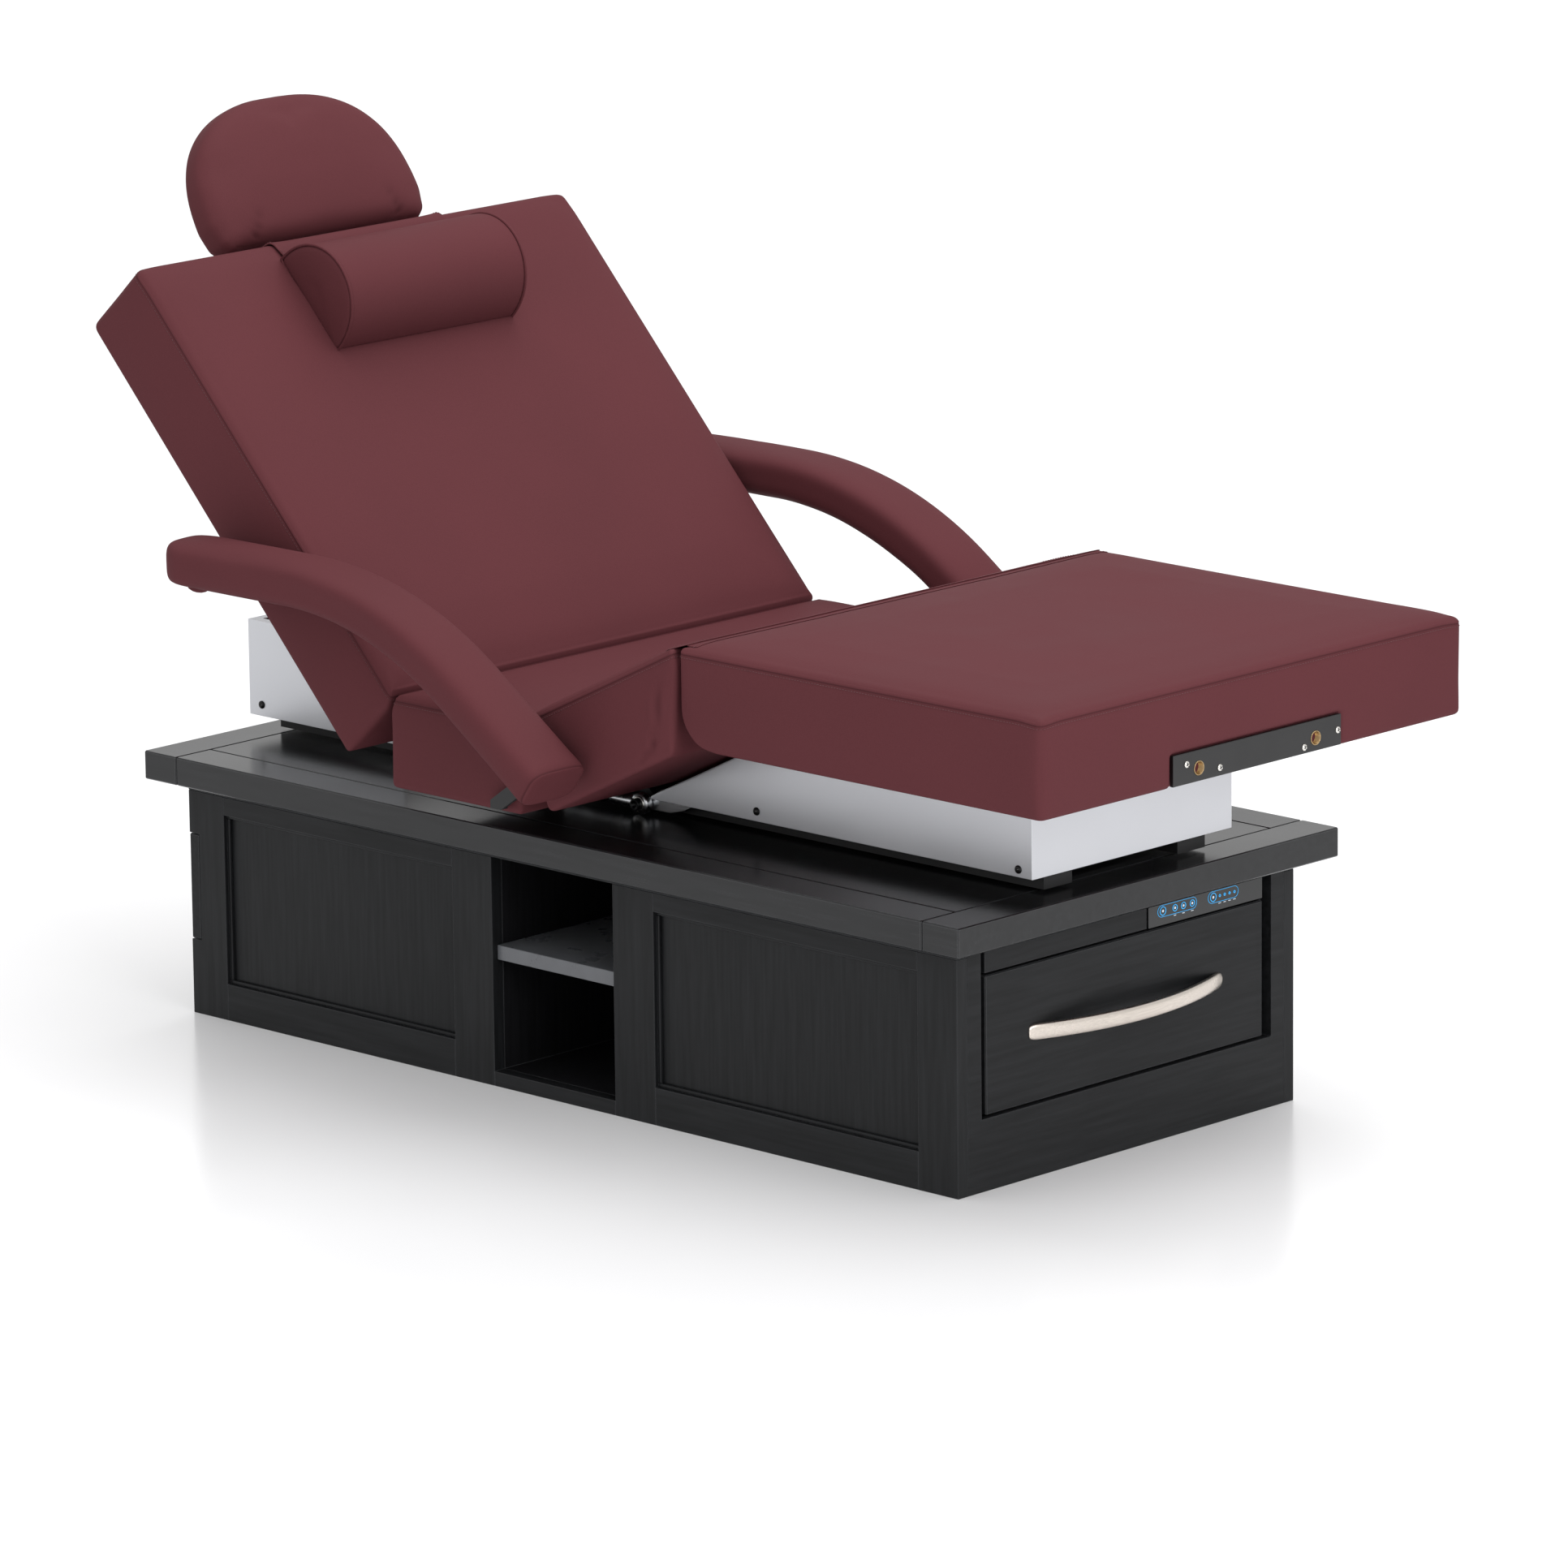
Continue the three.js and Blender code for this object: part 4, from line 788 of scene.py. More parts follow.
def pad(name, body, replaced, matrix, x0, x1, left, right, radii, crown, folds=(), sag=0.0,
        pocket=None):
    """One upholstered section. left and right give the end faces as (z, x shift) pairs.

    sag lowers the underside. pocket is a (half width, height) recess in the x1 face.
    """
    z0, z1 = PAD_BOTTOM + SHRINK - sag, PAD_TOP - SHRINK / 2
    half_w = PAD_HALF_W - SHRINK
    free = [radius > FREE_CORNER_R for radius in radii]
    a = x0 + (SHRINK if free[0] else SHRINK / 2)
    b = x1 - (SHRINK if free[1] else SHRINK / 2)
    outline = corner_outline(a, b, half_w, radii)
    seam_z = z1 - SEAM_DROP
    fine_z = [seam_z + d for d in SEAM_GRID] + near_edges(z0, z1)
    fine_y = near_edges(-half_w, half_w)
    if pocket:
        fine_y = [*fine_y, *(side * (pocket[0] + d) for side in (-1, 1) for d in (-0.001, 0.001))]
        fine_z += [pocket[1] - 0.001, pocket[1] + 0.001]
    xs = lines(a, b, PAD_GRID, near_edges(a, b))
    ys = lines(-half_w, half_w, PAD_GRID, fine_y)
    zs = lines(z0, z1, PAD_GRID_Z, fine_z)
    flat, faces = box_surface(xs, ys, zs)
    flat = round_over(flat, outline, z0, z1, TOP_EDGE_R, BOTTOM_EDGE_R)
    rim = outline_distance(flat, outline)

    def to_world(points):
        p = np.array(points, float)
        high_up = np.clip((p[:, 2] - (z0 + z1) / 2) / ((z1 - z0) / 2), 0, 1)
        for end, dips in zip((a, b), free):
            if dips:
                near_end = np.clip(1 - np.abs(p[:, 0] - end) / FREE_CORNER_REACH, 0, 1)
                near_side = np.clip(1 - (half_w - np.abs(p[:, 1])) / FREE_CORNER_REACH, 0, 1)
                p[:, 2] -= FREE_CORNER_DIP * high_up * near_end * near_side
        low = np.interp(p[:, 2], [z for z, _ in left], [s for _, s in left])
        high = np.interp(p[:, 2], [z for z, _ in right], [s for _, s in right])
        t = (p[:, 0] - a) / (b - a)
        p[:, 0] = p[:, 0] + low * (1 - t) + high * t
        return moved(p, matrix)

    on_side = np.clip((rim + 0.012) / 0.010, 0, 1)
    on_top = np.clip((flat[:, 2] - z1 + 0.006) / 0.006, 0, 1)
    underneath = flat[:, 2] < z0 + 0.004
    seam_near = bell(flat[:, 2] - seam_z, 0.004) * on_side
    held = np.where(underneath, 1.0, 0.75 * seam_near)
    depth_in = np.clip(-rim / 0.10, 0, 1)
    cap = np.where(on_top > 0.5, crown[0] * (0.35 + 0.65 * depth_in), crown[1])
    if pocket:
        in_pocket = ((np.abs(flat[:, 1]) < pocket[0]) & (flat[:, 2] < pocket[1])
                     & (flat[:, 0] > b - 0.012))
        held = np.where(in_pocket, 1.0, held)
        cap = np.where(in_pocket, POCKET_CAP, cap)
    for end, dips in zip((a, b), free):
        if not dips:
            cap = np.where(np.abs(flat[:, 0] - end) < 0.004, HINGE_FACE_CROWN, cap)

    def finish(obj):
        main = bell(flat[:, 2] - seam_z, SEAM_W) * on_side
        lower = bell(flat[:, 2] - seam_z + STITCH_OFFSET, STITCH_W) * on_side
        depths = SEAM_SINK * main + STITCH_SINK * lower
        # painted shade along the main seam and the stitch row below it
        groove_shade = np.clip(0.9 * main + 0.1 * lower, 0, 1)
        # each fold adds painted shade in its crease
        for fold in folds:
            height, fold_shade = crease(flat, fold)
            depths = depths + fold["depth"] * height
            groove_shade = np.clip(groove_shade + FOLD_SHADE * fold_shade, 0, 1)
        groove(obj, depths, groove_shade)
        if pocket:
            points = coordinates(obj.data)
            back = np.array(matrix.to_3x3() @ Vector((-POCKET_DEPTH, 0, 0)))
            set_coordinates(obj.data, points + in_pocket[:, None] * back)
        subdivide(obj)
        row = even([(x, y, seam_z - STITCH_OFFSET) for x, y in outline], STITCH_PITCH)
        thread = stitching(name + "_stitching", to_world(row), obj)
        place(thread, body, "upholstery")

    return soft_piece(name, body, replaced, to_world(flat), faces, held, cap, finish)


def crease(flat, fold):
    """A sewn-in fold on a side face: (height of the pucker, painted shade in the fold), for each
    point.
    """
    (x_a, z_a), (x_b, z_b) = fold["line"]
    near = flat[:, 1] < -PAD_HALF_W + 0.03 if fold["side"] < 0 else flat[:, 1] > PAD_HALF_W - 0.03
    along = np.array([x_b - x_a, z_b - z_a])
    length = np.linalg.norm(along)
    rel = np.column_stack([flat[:, 0] - x_a, flat[:, 2] - z_a])
    t = np.clip(rel @ along / length ** 2, 0, 1)
    gap = np.linalg.norm(rel - t[:, None] * along, axis=1)
    fade = np.sin(np.pi * np.clip(t, 0.04, 0.96)) ** 0.6
    width = fold["width"]
    height = bell(gap, width) - 0.45 * bell(gap - 1.9 * width, width)
    return near * fade * height, near * fade * bell(gap, width * 0.6)


# ---- the four sections

LEG_CHAMFER = (0.050, 0.049)
leg_rear = [
    (PAD_BOTTOM + LEG_CHAMFER[1] * (1 - math.cos(t)), LEG_CHAMFER[0] * (1 - math.sin(t)))
    for t in np.linspace(0, math.pi / 2, 8)
] + [(PAD_TOP, 0)]
half_drop = math.tan(THIGH_DROP / 2)
half_rise = math.tan(BACK_RISE / 2)
plain = [(PAD_BOTTOM, 0), (PAD_TOP, 0)]


def relief(slope):
    return [(PAD_BOTTOM, 0), (0, 0), (PAD_TOP, slope * PAD_TOP)]


pad("leg_cushion", "lifting_top", ["leg_pad"], LEG_FRAME, END_GAP, LEG_L,
    leg_rear, plain, (0.006, 0.0105), (0.008, 0.003), sag=0.004, pocket=(0.1525, -0.0605))
undercut = [
    (PAD_BOTTOM, PAD_BOTTOM * math.tan(THIGH_UNDERCUT)), (0, 0), (PAD_TOP, 0),
]
thigh_folds = [
    {"line": line, "side": side, "depth": depth, "width": width}
    for line, depth, width in (
        (((-0.030, -0.005), (-0.046, -0.085)), 0.0045, 0.0045),
        (((-0.030, -0.070), (-0.075, -0.088)), 0.003, 0.004),
    )
    for side in SIDES
]
pad("thigh_cushion", "thigh", ["thigh_pad"], THIGH_FRAME, -THIGH_L + END_GAP, -END_GAP,
    relief(half_drop), undercut, (0.006, 0.006), (0.007, 0.003), thigh_folds)
pad("seat_cushion", "seat", ["seat_pad"], SEAT_FRAME, -SEAT_L + END_GAP, -END_GAP,
    relief(half_rise), relief(-half_drop), (0.006, 0.006), (0.006, 0.003))
pad("back_cushion", "back", ["back_pad"], BACK_FRAME, -BACK_L, -END_GAP,
    plain, relief(-half_rise), (0.014, 0.006), (0.008, 0.003), sag=0.004)

# ---- armrests


def arm_path():
    """Stations along an armrest: (x, z, direction angle), rear to front."""
    rear = [(x, ARM_REAR[1], 0.0) for x in lines(ARM_REAR[0], ARM_BEND_X, ARM_GRID)]
    centre_z = ARM_REAR[1] - ARM_BEND_R
    bend = []
    for turn in lines(0, ARM_SLOPE, 0.018)[1:]:
        bend.append((ARM_BEND_X + ARM_BEND_R * math.sin(turn),
                     centre_z + ARM_BEND_R * math.cos(turn), turn))
    x, z, _ = bend[-1]
    run = (ARM_FRONT_X - x) / math.cos(ARM_SLOPE)
    front = []
    for s in lines(0, run, ARM_GRID)[1:]:
        front.append((x + s * math.cos(ARM_SLOPE), z - s * math.sin(ARM_SLOPE), ARM_SLOPE))
    return rear + bend + front


def squircle(power, count):
    """A rounded rectangle of half-size one, as points in a circle's order."""
    made = []
    for i in range(count):
        angle = 2 * math.pi * i / count
        c, s = math.cos(angle), math.sin(angle)
        scale = (abs(c) ** power + abs(s) ** power) ** (-1 / power)
        made.append((c * scale, s * scale))
    return made


def sweep(stations, section):
    """Rings of section (list of (a, b)) at stations (centre, a-direction, b-direction)."""
    points = []
    for centre, da, db in stations:
        for a, b in section:
            points.append(centre + a * da + b * db)
    return np.array(points), ring_faces(len(stations), len(section))


def rounding(distance, reach):
    """Rises from 0 to 1 along a quarter circle."""
    t = max(0.0, min(1.0, distance / reach))
    return math.sqrt(1 - (1 - t) ** 2)


def build_arm(side):
    section = squircle(ARM_SQUARENESS, ARM_SECTION_POINTS)
    y_axis = np.array([0.0, 1.0, 0.0])
    stations = []

    def station(x, z, turn, wide, thick):
        up = np.array([math.sin(turn), 0, math.cos(turn)])
        centre = np.array([x, side * ARM_Y, z])
        stations.append((centre, y_axis * ARM_HALF_W * wide, up * ARM_HALF_T * thick))

    path = arm_path()
    for x, z, turn in path:
        wide, thick = (rounding(x - ARM_REAR[0], reach) for reach in ARM_REAR_REACH)
        if x == ARM_REAR[0]:
            for w in (0.02, 0.1, 0.19):
                station(x + 0.0002, z, turn, w, 0.12 + w)
            continue
        station(x, z, turn, max(wide, 0.25) * 0.985, max(thick, 0.4) * 0.97)
    x, z, turn = path[-1]
    for ahead, scale in ARM_FRONT_CAP:
        station(x + ahead * math.cos(turn), z - ahead * math.sin(turn), turn, scale, scale)
    points, faces = sweep(stations, section)
    count = len(section)
    row = np.repeat(np.arange(len(stations)), count)
    front_row = len(stations) - len(ARM_FRONT_CAP)
    seam_near = bell((row - front_row).astype(float), 0.9)
    inner_face = (np.abs(points[:, 1]) < ARM_Y - 0.9 * ARM_HALF_W)
    held = np.clip(seam_near * 0.8 + inner_face * 0.4, 0, 1)
    cap = np.full(len(points), ARM_SWELL)

    def finish(obj):
        main = bell((row - front_row).astype(float), 0.75)
        rim = bell((row - front_row + 2).astype(float), 0.7)
        # painted shade darkens the front seam groove
        groove(obj, 0.002 * main - 0.0006 * rim, np.clip(main, 0, 1))
        subdivide(obj)

    where = SIDES[side]
    soft_piece(where + "_armrest", "arm_" + where, ["arm_pad_" + where, "arm_core_" + where],
               points, faces, held, cap, finish)


def arm_fold(side):
    """The gathered end of the cover, tucked in under an armrest's rear."""
    z = ARM_REAR[1] - ARM_HALF_T - 0.003
    y = side * (ARM_Y + 0.012)
    path = [(ARM_REAR[0] + dx, y + side * dy, z + dz) for dx, dy, dz in ARM_FOLD]
    made = tube("arm_fold_" + SIDES[side], path, ARM_FOLD_R, VINYL, 12)
    subdivide(made)
    place(made, "arm_" + SIDES[side], "upholstery")


for side in SIDES:
    build_arm(side)
for side in SIDES:
    arm_fold(side)

# ---- headrest and bolster


def headrest_outline():
    """Plan outline, counter-clockwise: the crown, then the straight base."""
    wide_x = -HEADREST_BASE - HEADREST_WIDE_X
    crown = HEADREST_H - HEADREST_WIDE_X
    power = HEADREST_ROUNDNESS
    outline = []
    for i in range(40):
        angle = math.pi * (i + 0.5) / 40
        c = math.cos(angle)
        y = math.copysign(abs(c) ** power, c)
        outline.append((wide_x - crown * math.sin(angle) ** power, HEADREST_HALF_W * y))
    base = HEADREST_HALF_W * HEADREST_BASE_WIDTH
    outline += [(wide_x, -HEADREST_HALF_W), (-HEADREST_BASE - 0.010, -base - 0.004),
                (-HEADREST_BASE, -base + 0.008)]
    outline += [(-HEADREST_BASE, base - 0.008), (-HEADREST_BASE - 0.010, base + 0.004),
                (wide_x, HEADREST_HALF_W)]
    return outline


def build_headrest():
    outline = np.array(headrest_outline())
    centre = np.array([(outline[:, 0].min() + outline[:, 0].max()) / 2, 0.0])
    rel = outline - centre
    angles = np.arctan2(rel[:, 1], rel[:, 0])
    order = np.argsort(angles)
    reach = np.linalg.norm(rel, axis=1)[order]
    angles = angles[order]
    wrapped = np.concatenate([angles - 2 * math.pi, angles, angles + 2 * math.pi])
    reaches = np.tile(reach, 3)
    z0, z1 = HEADREST_Z[0], HEADREST_Z[1] - 0.004
    span = lines(-1, 1, 0.05)
    zs = lines(z0, z1, 0.006)
    flat, faces = box_surface(span, span, zs)
    u, v = flat[:, 0].copy(), flat[:, 1].copy()
    disc = np.column_stack([u * np.sqrt(1 - v * v / 2), v * np.sqrt(1 - u * u / 2)])
    angle = np.arctan2(disc[:, 1], disc[:, 0])
    radius = np.linalg.norm(disc, axis=1) * np.interp(angle, wrapped, reaches)
    flat[:, 0] = centre[0] + radius * np.cos(angle)
    flat[:, 1] = radius * np.sin(angle)
    small = centre + (outline - centre) * 0.985
    flat = round_over(flat, small, z0, z1, *HEADREST_EDGE_R)
    rim = outline_distance(flat, small)
    held = np.where(flat[:, 2] < z0 + 0.003, 1.0, 0.0)
    crowned = HEADREST_SWELL + HEADREST_CROWN * np.clip(-rim / 0.08, 0, 1)
    cap = np.where(flat[:, 2] > z1 - 0.004, crowned, HEADREST_SWELL)

    def finish(obj):
        depth = np.zeros(len(flat))
        for start, end in DARTS:
            along = np.array(end) - start
            t = np.clip((flat[:, :2] - start) @ along / (along @ along), 0, 1)
            gap = np.linalg.norm(flat[:, :2] - start - t[:, None] * along, axis=1)
            depth += bell(gap, DART_W) * (1 - 0.8 * t) * (flat[:, 2] > z0 + 0.02)
        # painted shade darkens the darts
        groove(obj, DART_SINK * depth, 0.7 * np.clip(depth, 0, 1))
        subdivide(obj)

    soft_piece("headrest_cushion", "headrest", ["headrest_pad"], moved(flat, HEADREST_FRAME),
               faces, held, cap, finish)


build_headrest()


def bolster_section():
    """D-shaped section in (x, z), flat underneath."""
    x0, x1 = BOLSTER_X
    mid = (x0 + x1) / 2
    half = (x1 - x0) / 2 - 0.001
    made = []
    for x, z in arc(0, 0, 1, 1, 0.0, math.pi, 34):
        bulge = abs(z) ** 0.92
        made.append((mid + half * x, PAD_TOP + BOLSTER_LIFT + (BOLSTER_H - 0.005) * bulge))
    bottom = lines(-1, 1, 0.14)[1:-1]
    made += [(mid + half * t, PAD_TOP + BOLSTER_LIFT) for t in bottom]
    return made


def build_bolster():
    section = bolster_section()
    mid_x, mid_z = np.mean(section, axis=0)
    rows = []
    half = BOLSTER_HALF_L
    for y in lines(-half, half, 0.008, (-half + 0.002, -half + 0.005, half - 0.002, half - 0.005)):
        rows.append((y, 1.0))
    caps = BOLSTER_CAP
    rows = [(-half - a, s) for a, s in reversed(caps)] + rows + [(half + a, s) for a, s in caps]
    points = []
    for y, scale in rows:
        for x, z in section:
            points.append((mid_x + (x - mid_x) * scale, y, mid_z + (z - mid_z) * scale))
    faces = ring_faces(len(rows), len(section), flip=True)
    flat = np.array(points)
    row = np.repeat(np.arange(len(rows)), len(section)).astype(float)
    ends = (len(caps) - 0.5, len(rows) - len(caps) - 0.5)
    seam_near = bell(row - ends[0], 1.2) + bell(row - ends[1], 1.2)
    below = flat[:, 2] < PAD_TOP + 0.005
    held = np.clip(below * 1.0 + 0.8 * seam_near, 0, 1)
    cap = np.full(len(flat), BOLSTER_SWELL)

    def finish(obj):
        main = bell(row - ends[0], 0.8) + bell(row - ends[1], 0.8)
        # painted shade darkens the end seams
        groove(obj, 0.0016 * main, np.clip(main, 0, 1))
        subdivide(obj)
        parts = []
        for side in (-1, 1):
            row_path = even([(x, side * (half + 0.0008), z) for x, z in section], 0.006)
            parts.append(tube("piping_row", moved(row_path, BACK_FRAME), PIPING_R, VINYL, 8, True))
        place(joined("bolster_piping", parts), "back", "upholstery")

    soft_piece("bolster_cushion", "back", ["neck_bolster"], moved(flat, BACK_FRAME), faces, held,
               cap, finish)


build_bolster()
run_cloth()

# ---- covers across the hinges


def surface_tree(*objects):
    points, faces = [], []
    for obj in objects:
        start = len(points)
        points += [v.co.copy() for v in obj.data.vertices]
        faces += [tuple(start + i for i in p.vertices) for p in obj.data.polygons]
    return BVHTree.FromPolygons(points, faces)


def sheet(name, rows, thickness, body=None, bend=None):
    """A thin vinyl sheet through rows of world points, riding on one body, or fixed in world space
    when bend is given.
    """
    n = len(rows[0])
    points = [p for row in rows for p in row]
    faces = [(i * n + k, i * n + k + 1, (i + 1) * n + k + 1, (i + 1) * n + k)
             for i in range(len(rows) - 1) for k in range(n - 1)]
    made = mesh_object(name, points, faces, VINYL)
    solid = made.modifiers.new("thickness", "SOLIDIFY")
    solid.thickness = thickness
    solid.offset = 0
    subdivide(made)
    if bend:
        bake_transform(made)
    else:
        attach(made, body)
    return made


CREASE_Y = PAD_HALF_W - 0.012
LINING_T = 0.0009
LINING_GAP = 0.0007  # from the crease's middle to each leaf
COVER_T = 0.0012
COVER_LIFT = 0.0007
FLAP_HALF_W = 0.149
FLAP_T = 0.0024
FLAP_LIFT = 0.0019


def crease_lining(name, bodies, axis, lean):
    """Vinyl tucked into the crease between two sections that meet in a valley."""
    up = Vector((math.sin(lean), 0, math.cos(lean)))
    across = Vector((-math.cos(lean), 0, math.sin(lean)))
    depth = PAD_TOP / math.cos(lean) - 0.006
    profile = [axis + up * t - across * LINING_GAP for t in lines(0.001, depth, 0.004)[::-1]]
    profile += [axis - up * 0.0006]
    profile += [axis + up * t + across * LINING_GAP for t in lines(0.001, depth, 0.004)]
    rows = [[p + Vector((0, y, 0)) for p in profile] for y in lines(-CREASE_Y, CREASE_Y, 0.02)]
    sheet(name, rows, LINING_T,
          bend=(*bodies, axis - across * 0.0005, axis + across * 0.0005))


def cling(tree, point, matrix, lift):
    """A point of a section's frame, laid on a surface and lifted off it."""
    near, normal, _, _ = tree.find_nearest(Vector(moved([point], matrix)[0]))
    return near + normal * lift


def ridge_cover():
    """Vinyl bridging the open ridge between the leg and thigh sections."""
    tree = surface_tree(bpy.data.objects["leg_cushion"], bpy.data.objects["thigh_cushion"])
    rows = []
    for y in lines(-CREASE_Y, CREASE_Y, 0.01):
        leg_side = [cling(tree, (x, y, PAD_TOP), LEG_FRAME, COVER_LIFT)
                    for x in (0.024, 0.019, 0.014)]
        thigh_side = [cling(tree, (x, y, PAD_TOP), THIGH_FRAME, COVER_LIFT)
                      for x in (-0.014, -0.019, -0.024)]
        for t in (0.25, 0.5, 0.75):
            rise = Vector((0, 0, 0.0022 * math.sin(math.pi * t)))
            thigh_side.insert(int(t * 4) - 1, leg_side[2].lerp(thigh_side[0], t) + rise)
        rows.append(leg_side + thigh_side)
    ends = [THIGH_AXIS + Vector((x, 0, 0)) for x in (0.010, -0.016)]
    cover = sheet("ridge_cover", rows, COVER_T, bend=("lifting_top", "thigh", *ends))
    middle = [[row[k] for row in rows] for k in (1, 7)]
    threads = [stitching("ridge_row", even([tuple(p) for p in path], STITCH_PITCH, False), cover)
               for path in middle]
    for obj, body, name in zip(threads, ("lifting_top", "thigh"), ("leg", "thigh")):
        obj.name = name + "_ridge_stitching"
        place(obj, body, "upholstery")


def bolster_flap():
    """The bolster's weighted flap, hung over the top edge of the back."""
    tree = surface_tree(bpy.data.objects["back_cushion"])
    edge_r = 0.014
    path = [(x, PAD_TOP + 0.002) for x in (-0.600, -0.615, -0.630, -0.640, -0.648, -0.656)]
    path += arc(-BACK_L + edge_r, PAD_TOP - edge_r, edge_r, edge_r, math.pi / 2, math.pi, 6)
    path += [(-BACK_L, z) for z in (0.002, -0.008, -0.018, -0.028, -0.034)]
    rows = []
    for y in lines(-FLAP_HALF_W, FLAP_HALF_W, 0.008, (-FLAP_HALF_W + 0.002, FLAP_HALF_W - 0.002)):
        curl = 0.0018 * abs(y / FLAP_HALF_W) ** 10
        rows.append([cling(tree, (x, y, z), BACK_FRAME, FLAP_LIFT + curl) for x, z in path])
    flap = sheet("bolster_flap", rows, FLAP_T, body="back")
    hems = []
    for k in (1, -2):
        hem = even([tuple(p) for p in rows[k]], STITCH_PITCH, False)
        hems.append(stitching("hem_row", hem, flap))
    place(joined("flap_stitching", hems), "back", "upholstery")


crease_lining("seat_thigh_lining", ("thigh", "seat"), SEAT_AXIS, -THIGH_DROP / 2)
crease_lining("back_seat_lining", ("seat", "back"), BACK_AXIS, BACK_RISE / 2)
ridge_cover()
bolster_flap()

# ---- carried-over CAD nodes

CAD_LOOKS = (
    (BLACK_BOARD, "floor_board niche_box foot_drawer_box head_drawer_box"),
    (STILE_LACQUER, "side_panel_near_head side_panel_near_foot side_panel_far"),
    (CROSS_LACQUER, "head_end_frame foot_end_frame control_strip foot_drawer_front"),
    (CROSS_LACQUER, "head_drawer_front"),
    (TOP_LACQUER, "top_board_head top_board_foot top_board_near top_board_far"),
    (TOP_LACQUER, "top_centre_panel"),
    (SHELF, "niche_shelf"),
    (TOUCH_GLASS, "touch_panel"),
    (GLOSS_BLACK, "foot_socket_plate"),
    (POWDER, "control_box column_outer_head column_outer_foot lift_chassis leg_frame"),
    (POWDER, "thigh_frame seat_frame back_frame arm_core_near arm_core_far actuator_body"),
    (ALUMINIUM, "column_middle_head column_middle_foot column_inner_head"),
    (ALUMINIUM, "column_inner_foot warmer_plate"),
    (SKIRT, "skirt_head skirt_foot"),
    (PLYWOOD, "leg_deck thigh_deck seat_deck back_deck headrest_board"),
    (ZINC, "actuator_rod headrest_rods"),
)
EASED = (
    (0.0006, "niche_box"),
    (0.0008, "control_strip touch_panel foot_socket_plate skirt_head skirt_foot"),
    (0.001, "side_panel_near_head side_panel_near_foot head_end_frame foot_end_frame"),
    (0.0012, "niche_shelf"),
    (0.002, "control_box"),
)
for look, nodes in CAD_LOOKS:
    for node in nodes.split():
        materials = frame["nodes"][node].data.materials
        materials.clear()
        materials.append(look)
for width, nodes in EASED:
    for node in nodes.split():
        ease_edges(frame["nodes"][node], width, weld=True)

# ---- cabinet woodwork

APRON_Z = 0.294  # under the cabinet top, a plain board above the stiles
PANEL_Z = (0.048, 0.270)
NICHE_X = (-0.118, 0.094)
NICHE_Z0 = 0.019
END_STILE = 0.065
NICHE_STILE = 0.070
BEAD = 0.005
BEAD_EASE = 0.0016
BOARD_EASE = 0.0009
HEAD_NOTCH = (0.018, 0.098, 0.238)  # where the head drawer's front shows at the corner


def side_boards(side):
    """Stiles, rails and panel beads of one long side, as separate boards."""
    replaced = "side_frame_" + SIDES[side]
    low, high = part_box(replaced)
    x0, x1, top = low.x, high.x, high.z
    depth, notch_z0, notch_z1 = HEAD_NOTCH
    stile0 = x0 + END_STILE
    head = [(x0, 0), (stile0, 0), (stile0, APRON_Z), (x0, APRON_Z), (x0, notch_z1),
            (x0 + depth, notch_z1), (x0 + depth, notch_z0), (x0, notch_z0)]
    niche0, niche1 = NICHE_X[0] - NICHE_STILE, NICHE_X[1] + NICHE_STILE
    uprights = ((niche0, NICHE_X[0]), (NICHE_X[1], niche1), (x1 - END_STILE, x1))
    stiles = [head] + [rectangle(a, b, 0, APRON_Z) for a, b in uprights]
    openings = [(stile0, niche0), (niche1, x1 - END_STILE)]
    rails = [rectangle(x0, x1, APRON_Z, top)]
    if side < 0:
        rails.append(rectangle(*NICHE_X, 0, NICHE_Z0))
    else:
        openings.append(NICHE_X)
    for a, b in openings:
        rails.append(rectangle(a, b, PANEL_Z[1], APRON_Z))
        rails.append(rectangle(a, b, 0, PANEL_Z[0]))
    z0, z1 = PANEL_Z
    face = low.y + 0.005 if side < 0 else high.y - 0.010
    groups = [(stiles, low.y, high.y, STILE_LACQUER, BOARD_EASE),
              (rails, low.y, high.y, RAIL_LACQUER, BOARD_EASE)]
    for a, b in openings:
        level = [rectangle(a, b, v, v + BEAD) for v in (z0, z1 - BEAD)]
        upright = [rectangle(u, u + BEAD, z0 + BEAD, z1 - BEAD) for u in (a, b - BEAD)]
        groups += [(level, face, face + BEAD, RAIL_LACQUER, BEAD_EASE),
                   (upright, face, face + BEAD, STILE_LACQUER, BEAD_EASE)]
    parts = [extruded("board", outline, "y", *rest) for group, *rest in groups for outline in group]
    for part in parts:
        apply_modifiers(part)
    place(joined(SIDES[side] + "_side_boards", parts), "cabinet", "black_lacquer", replaced)


for side in SIDES:
    side_boards(side)

# ---- drawer handle


def build_handle():
    low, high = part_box("foot_drawer_handle")
    half, bow = high.y, high.x - low.x
    z = (low.z + high.z) / 2
    half_h = (high.z - low.z) / 2
    half_t = 0.0045
    radius = (half ** 2 + bow ** 2) / (2 * bow) - half_t
    centre_x = high.x - half_t - radius
    end = math.asin((half - half_t) / radius)
    section = squircle(3.2, 28)
    stations = []
    up = np.array([0.0, 0.0, 1.0])
    for turn in lines(-end, end, 0.012, (-end + 0.004, -end + 0.010, end - 0.010, end - 0.004)):
        left = max(0.0, min(1.0, (end - abs(turn)) * radius / 0.006))
        taper = min(1.0, 0.55 + 0.45 * math.sqrt(left))
        out = np.array([math.cos(turn), math.sin(turn), 0.0])
        centre = np.array([centre_x, 0, z]) + out * radius
        stations.append((centre, out * half_t, up * half_h * taper))
    points, faces = sweep(stations, section)
    made = mesh_object("bow_handle", points, faces, NICKEL)
    subdivide(made)
    place(made, "foot_drawer", "satin_nickel", "foot_drawer_handle")


build_handle()

# ---- fasteners


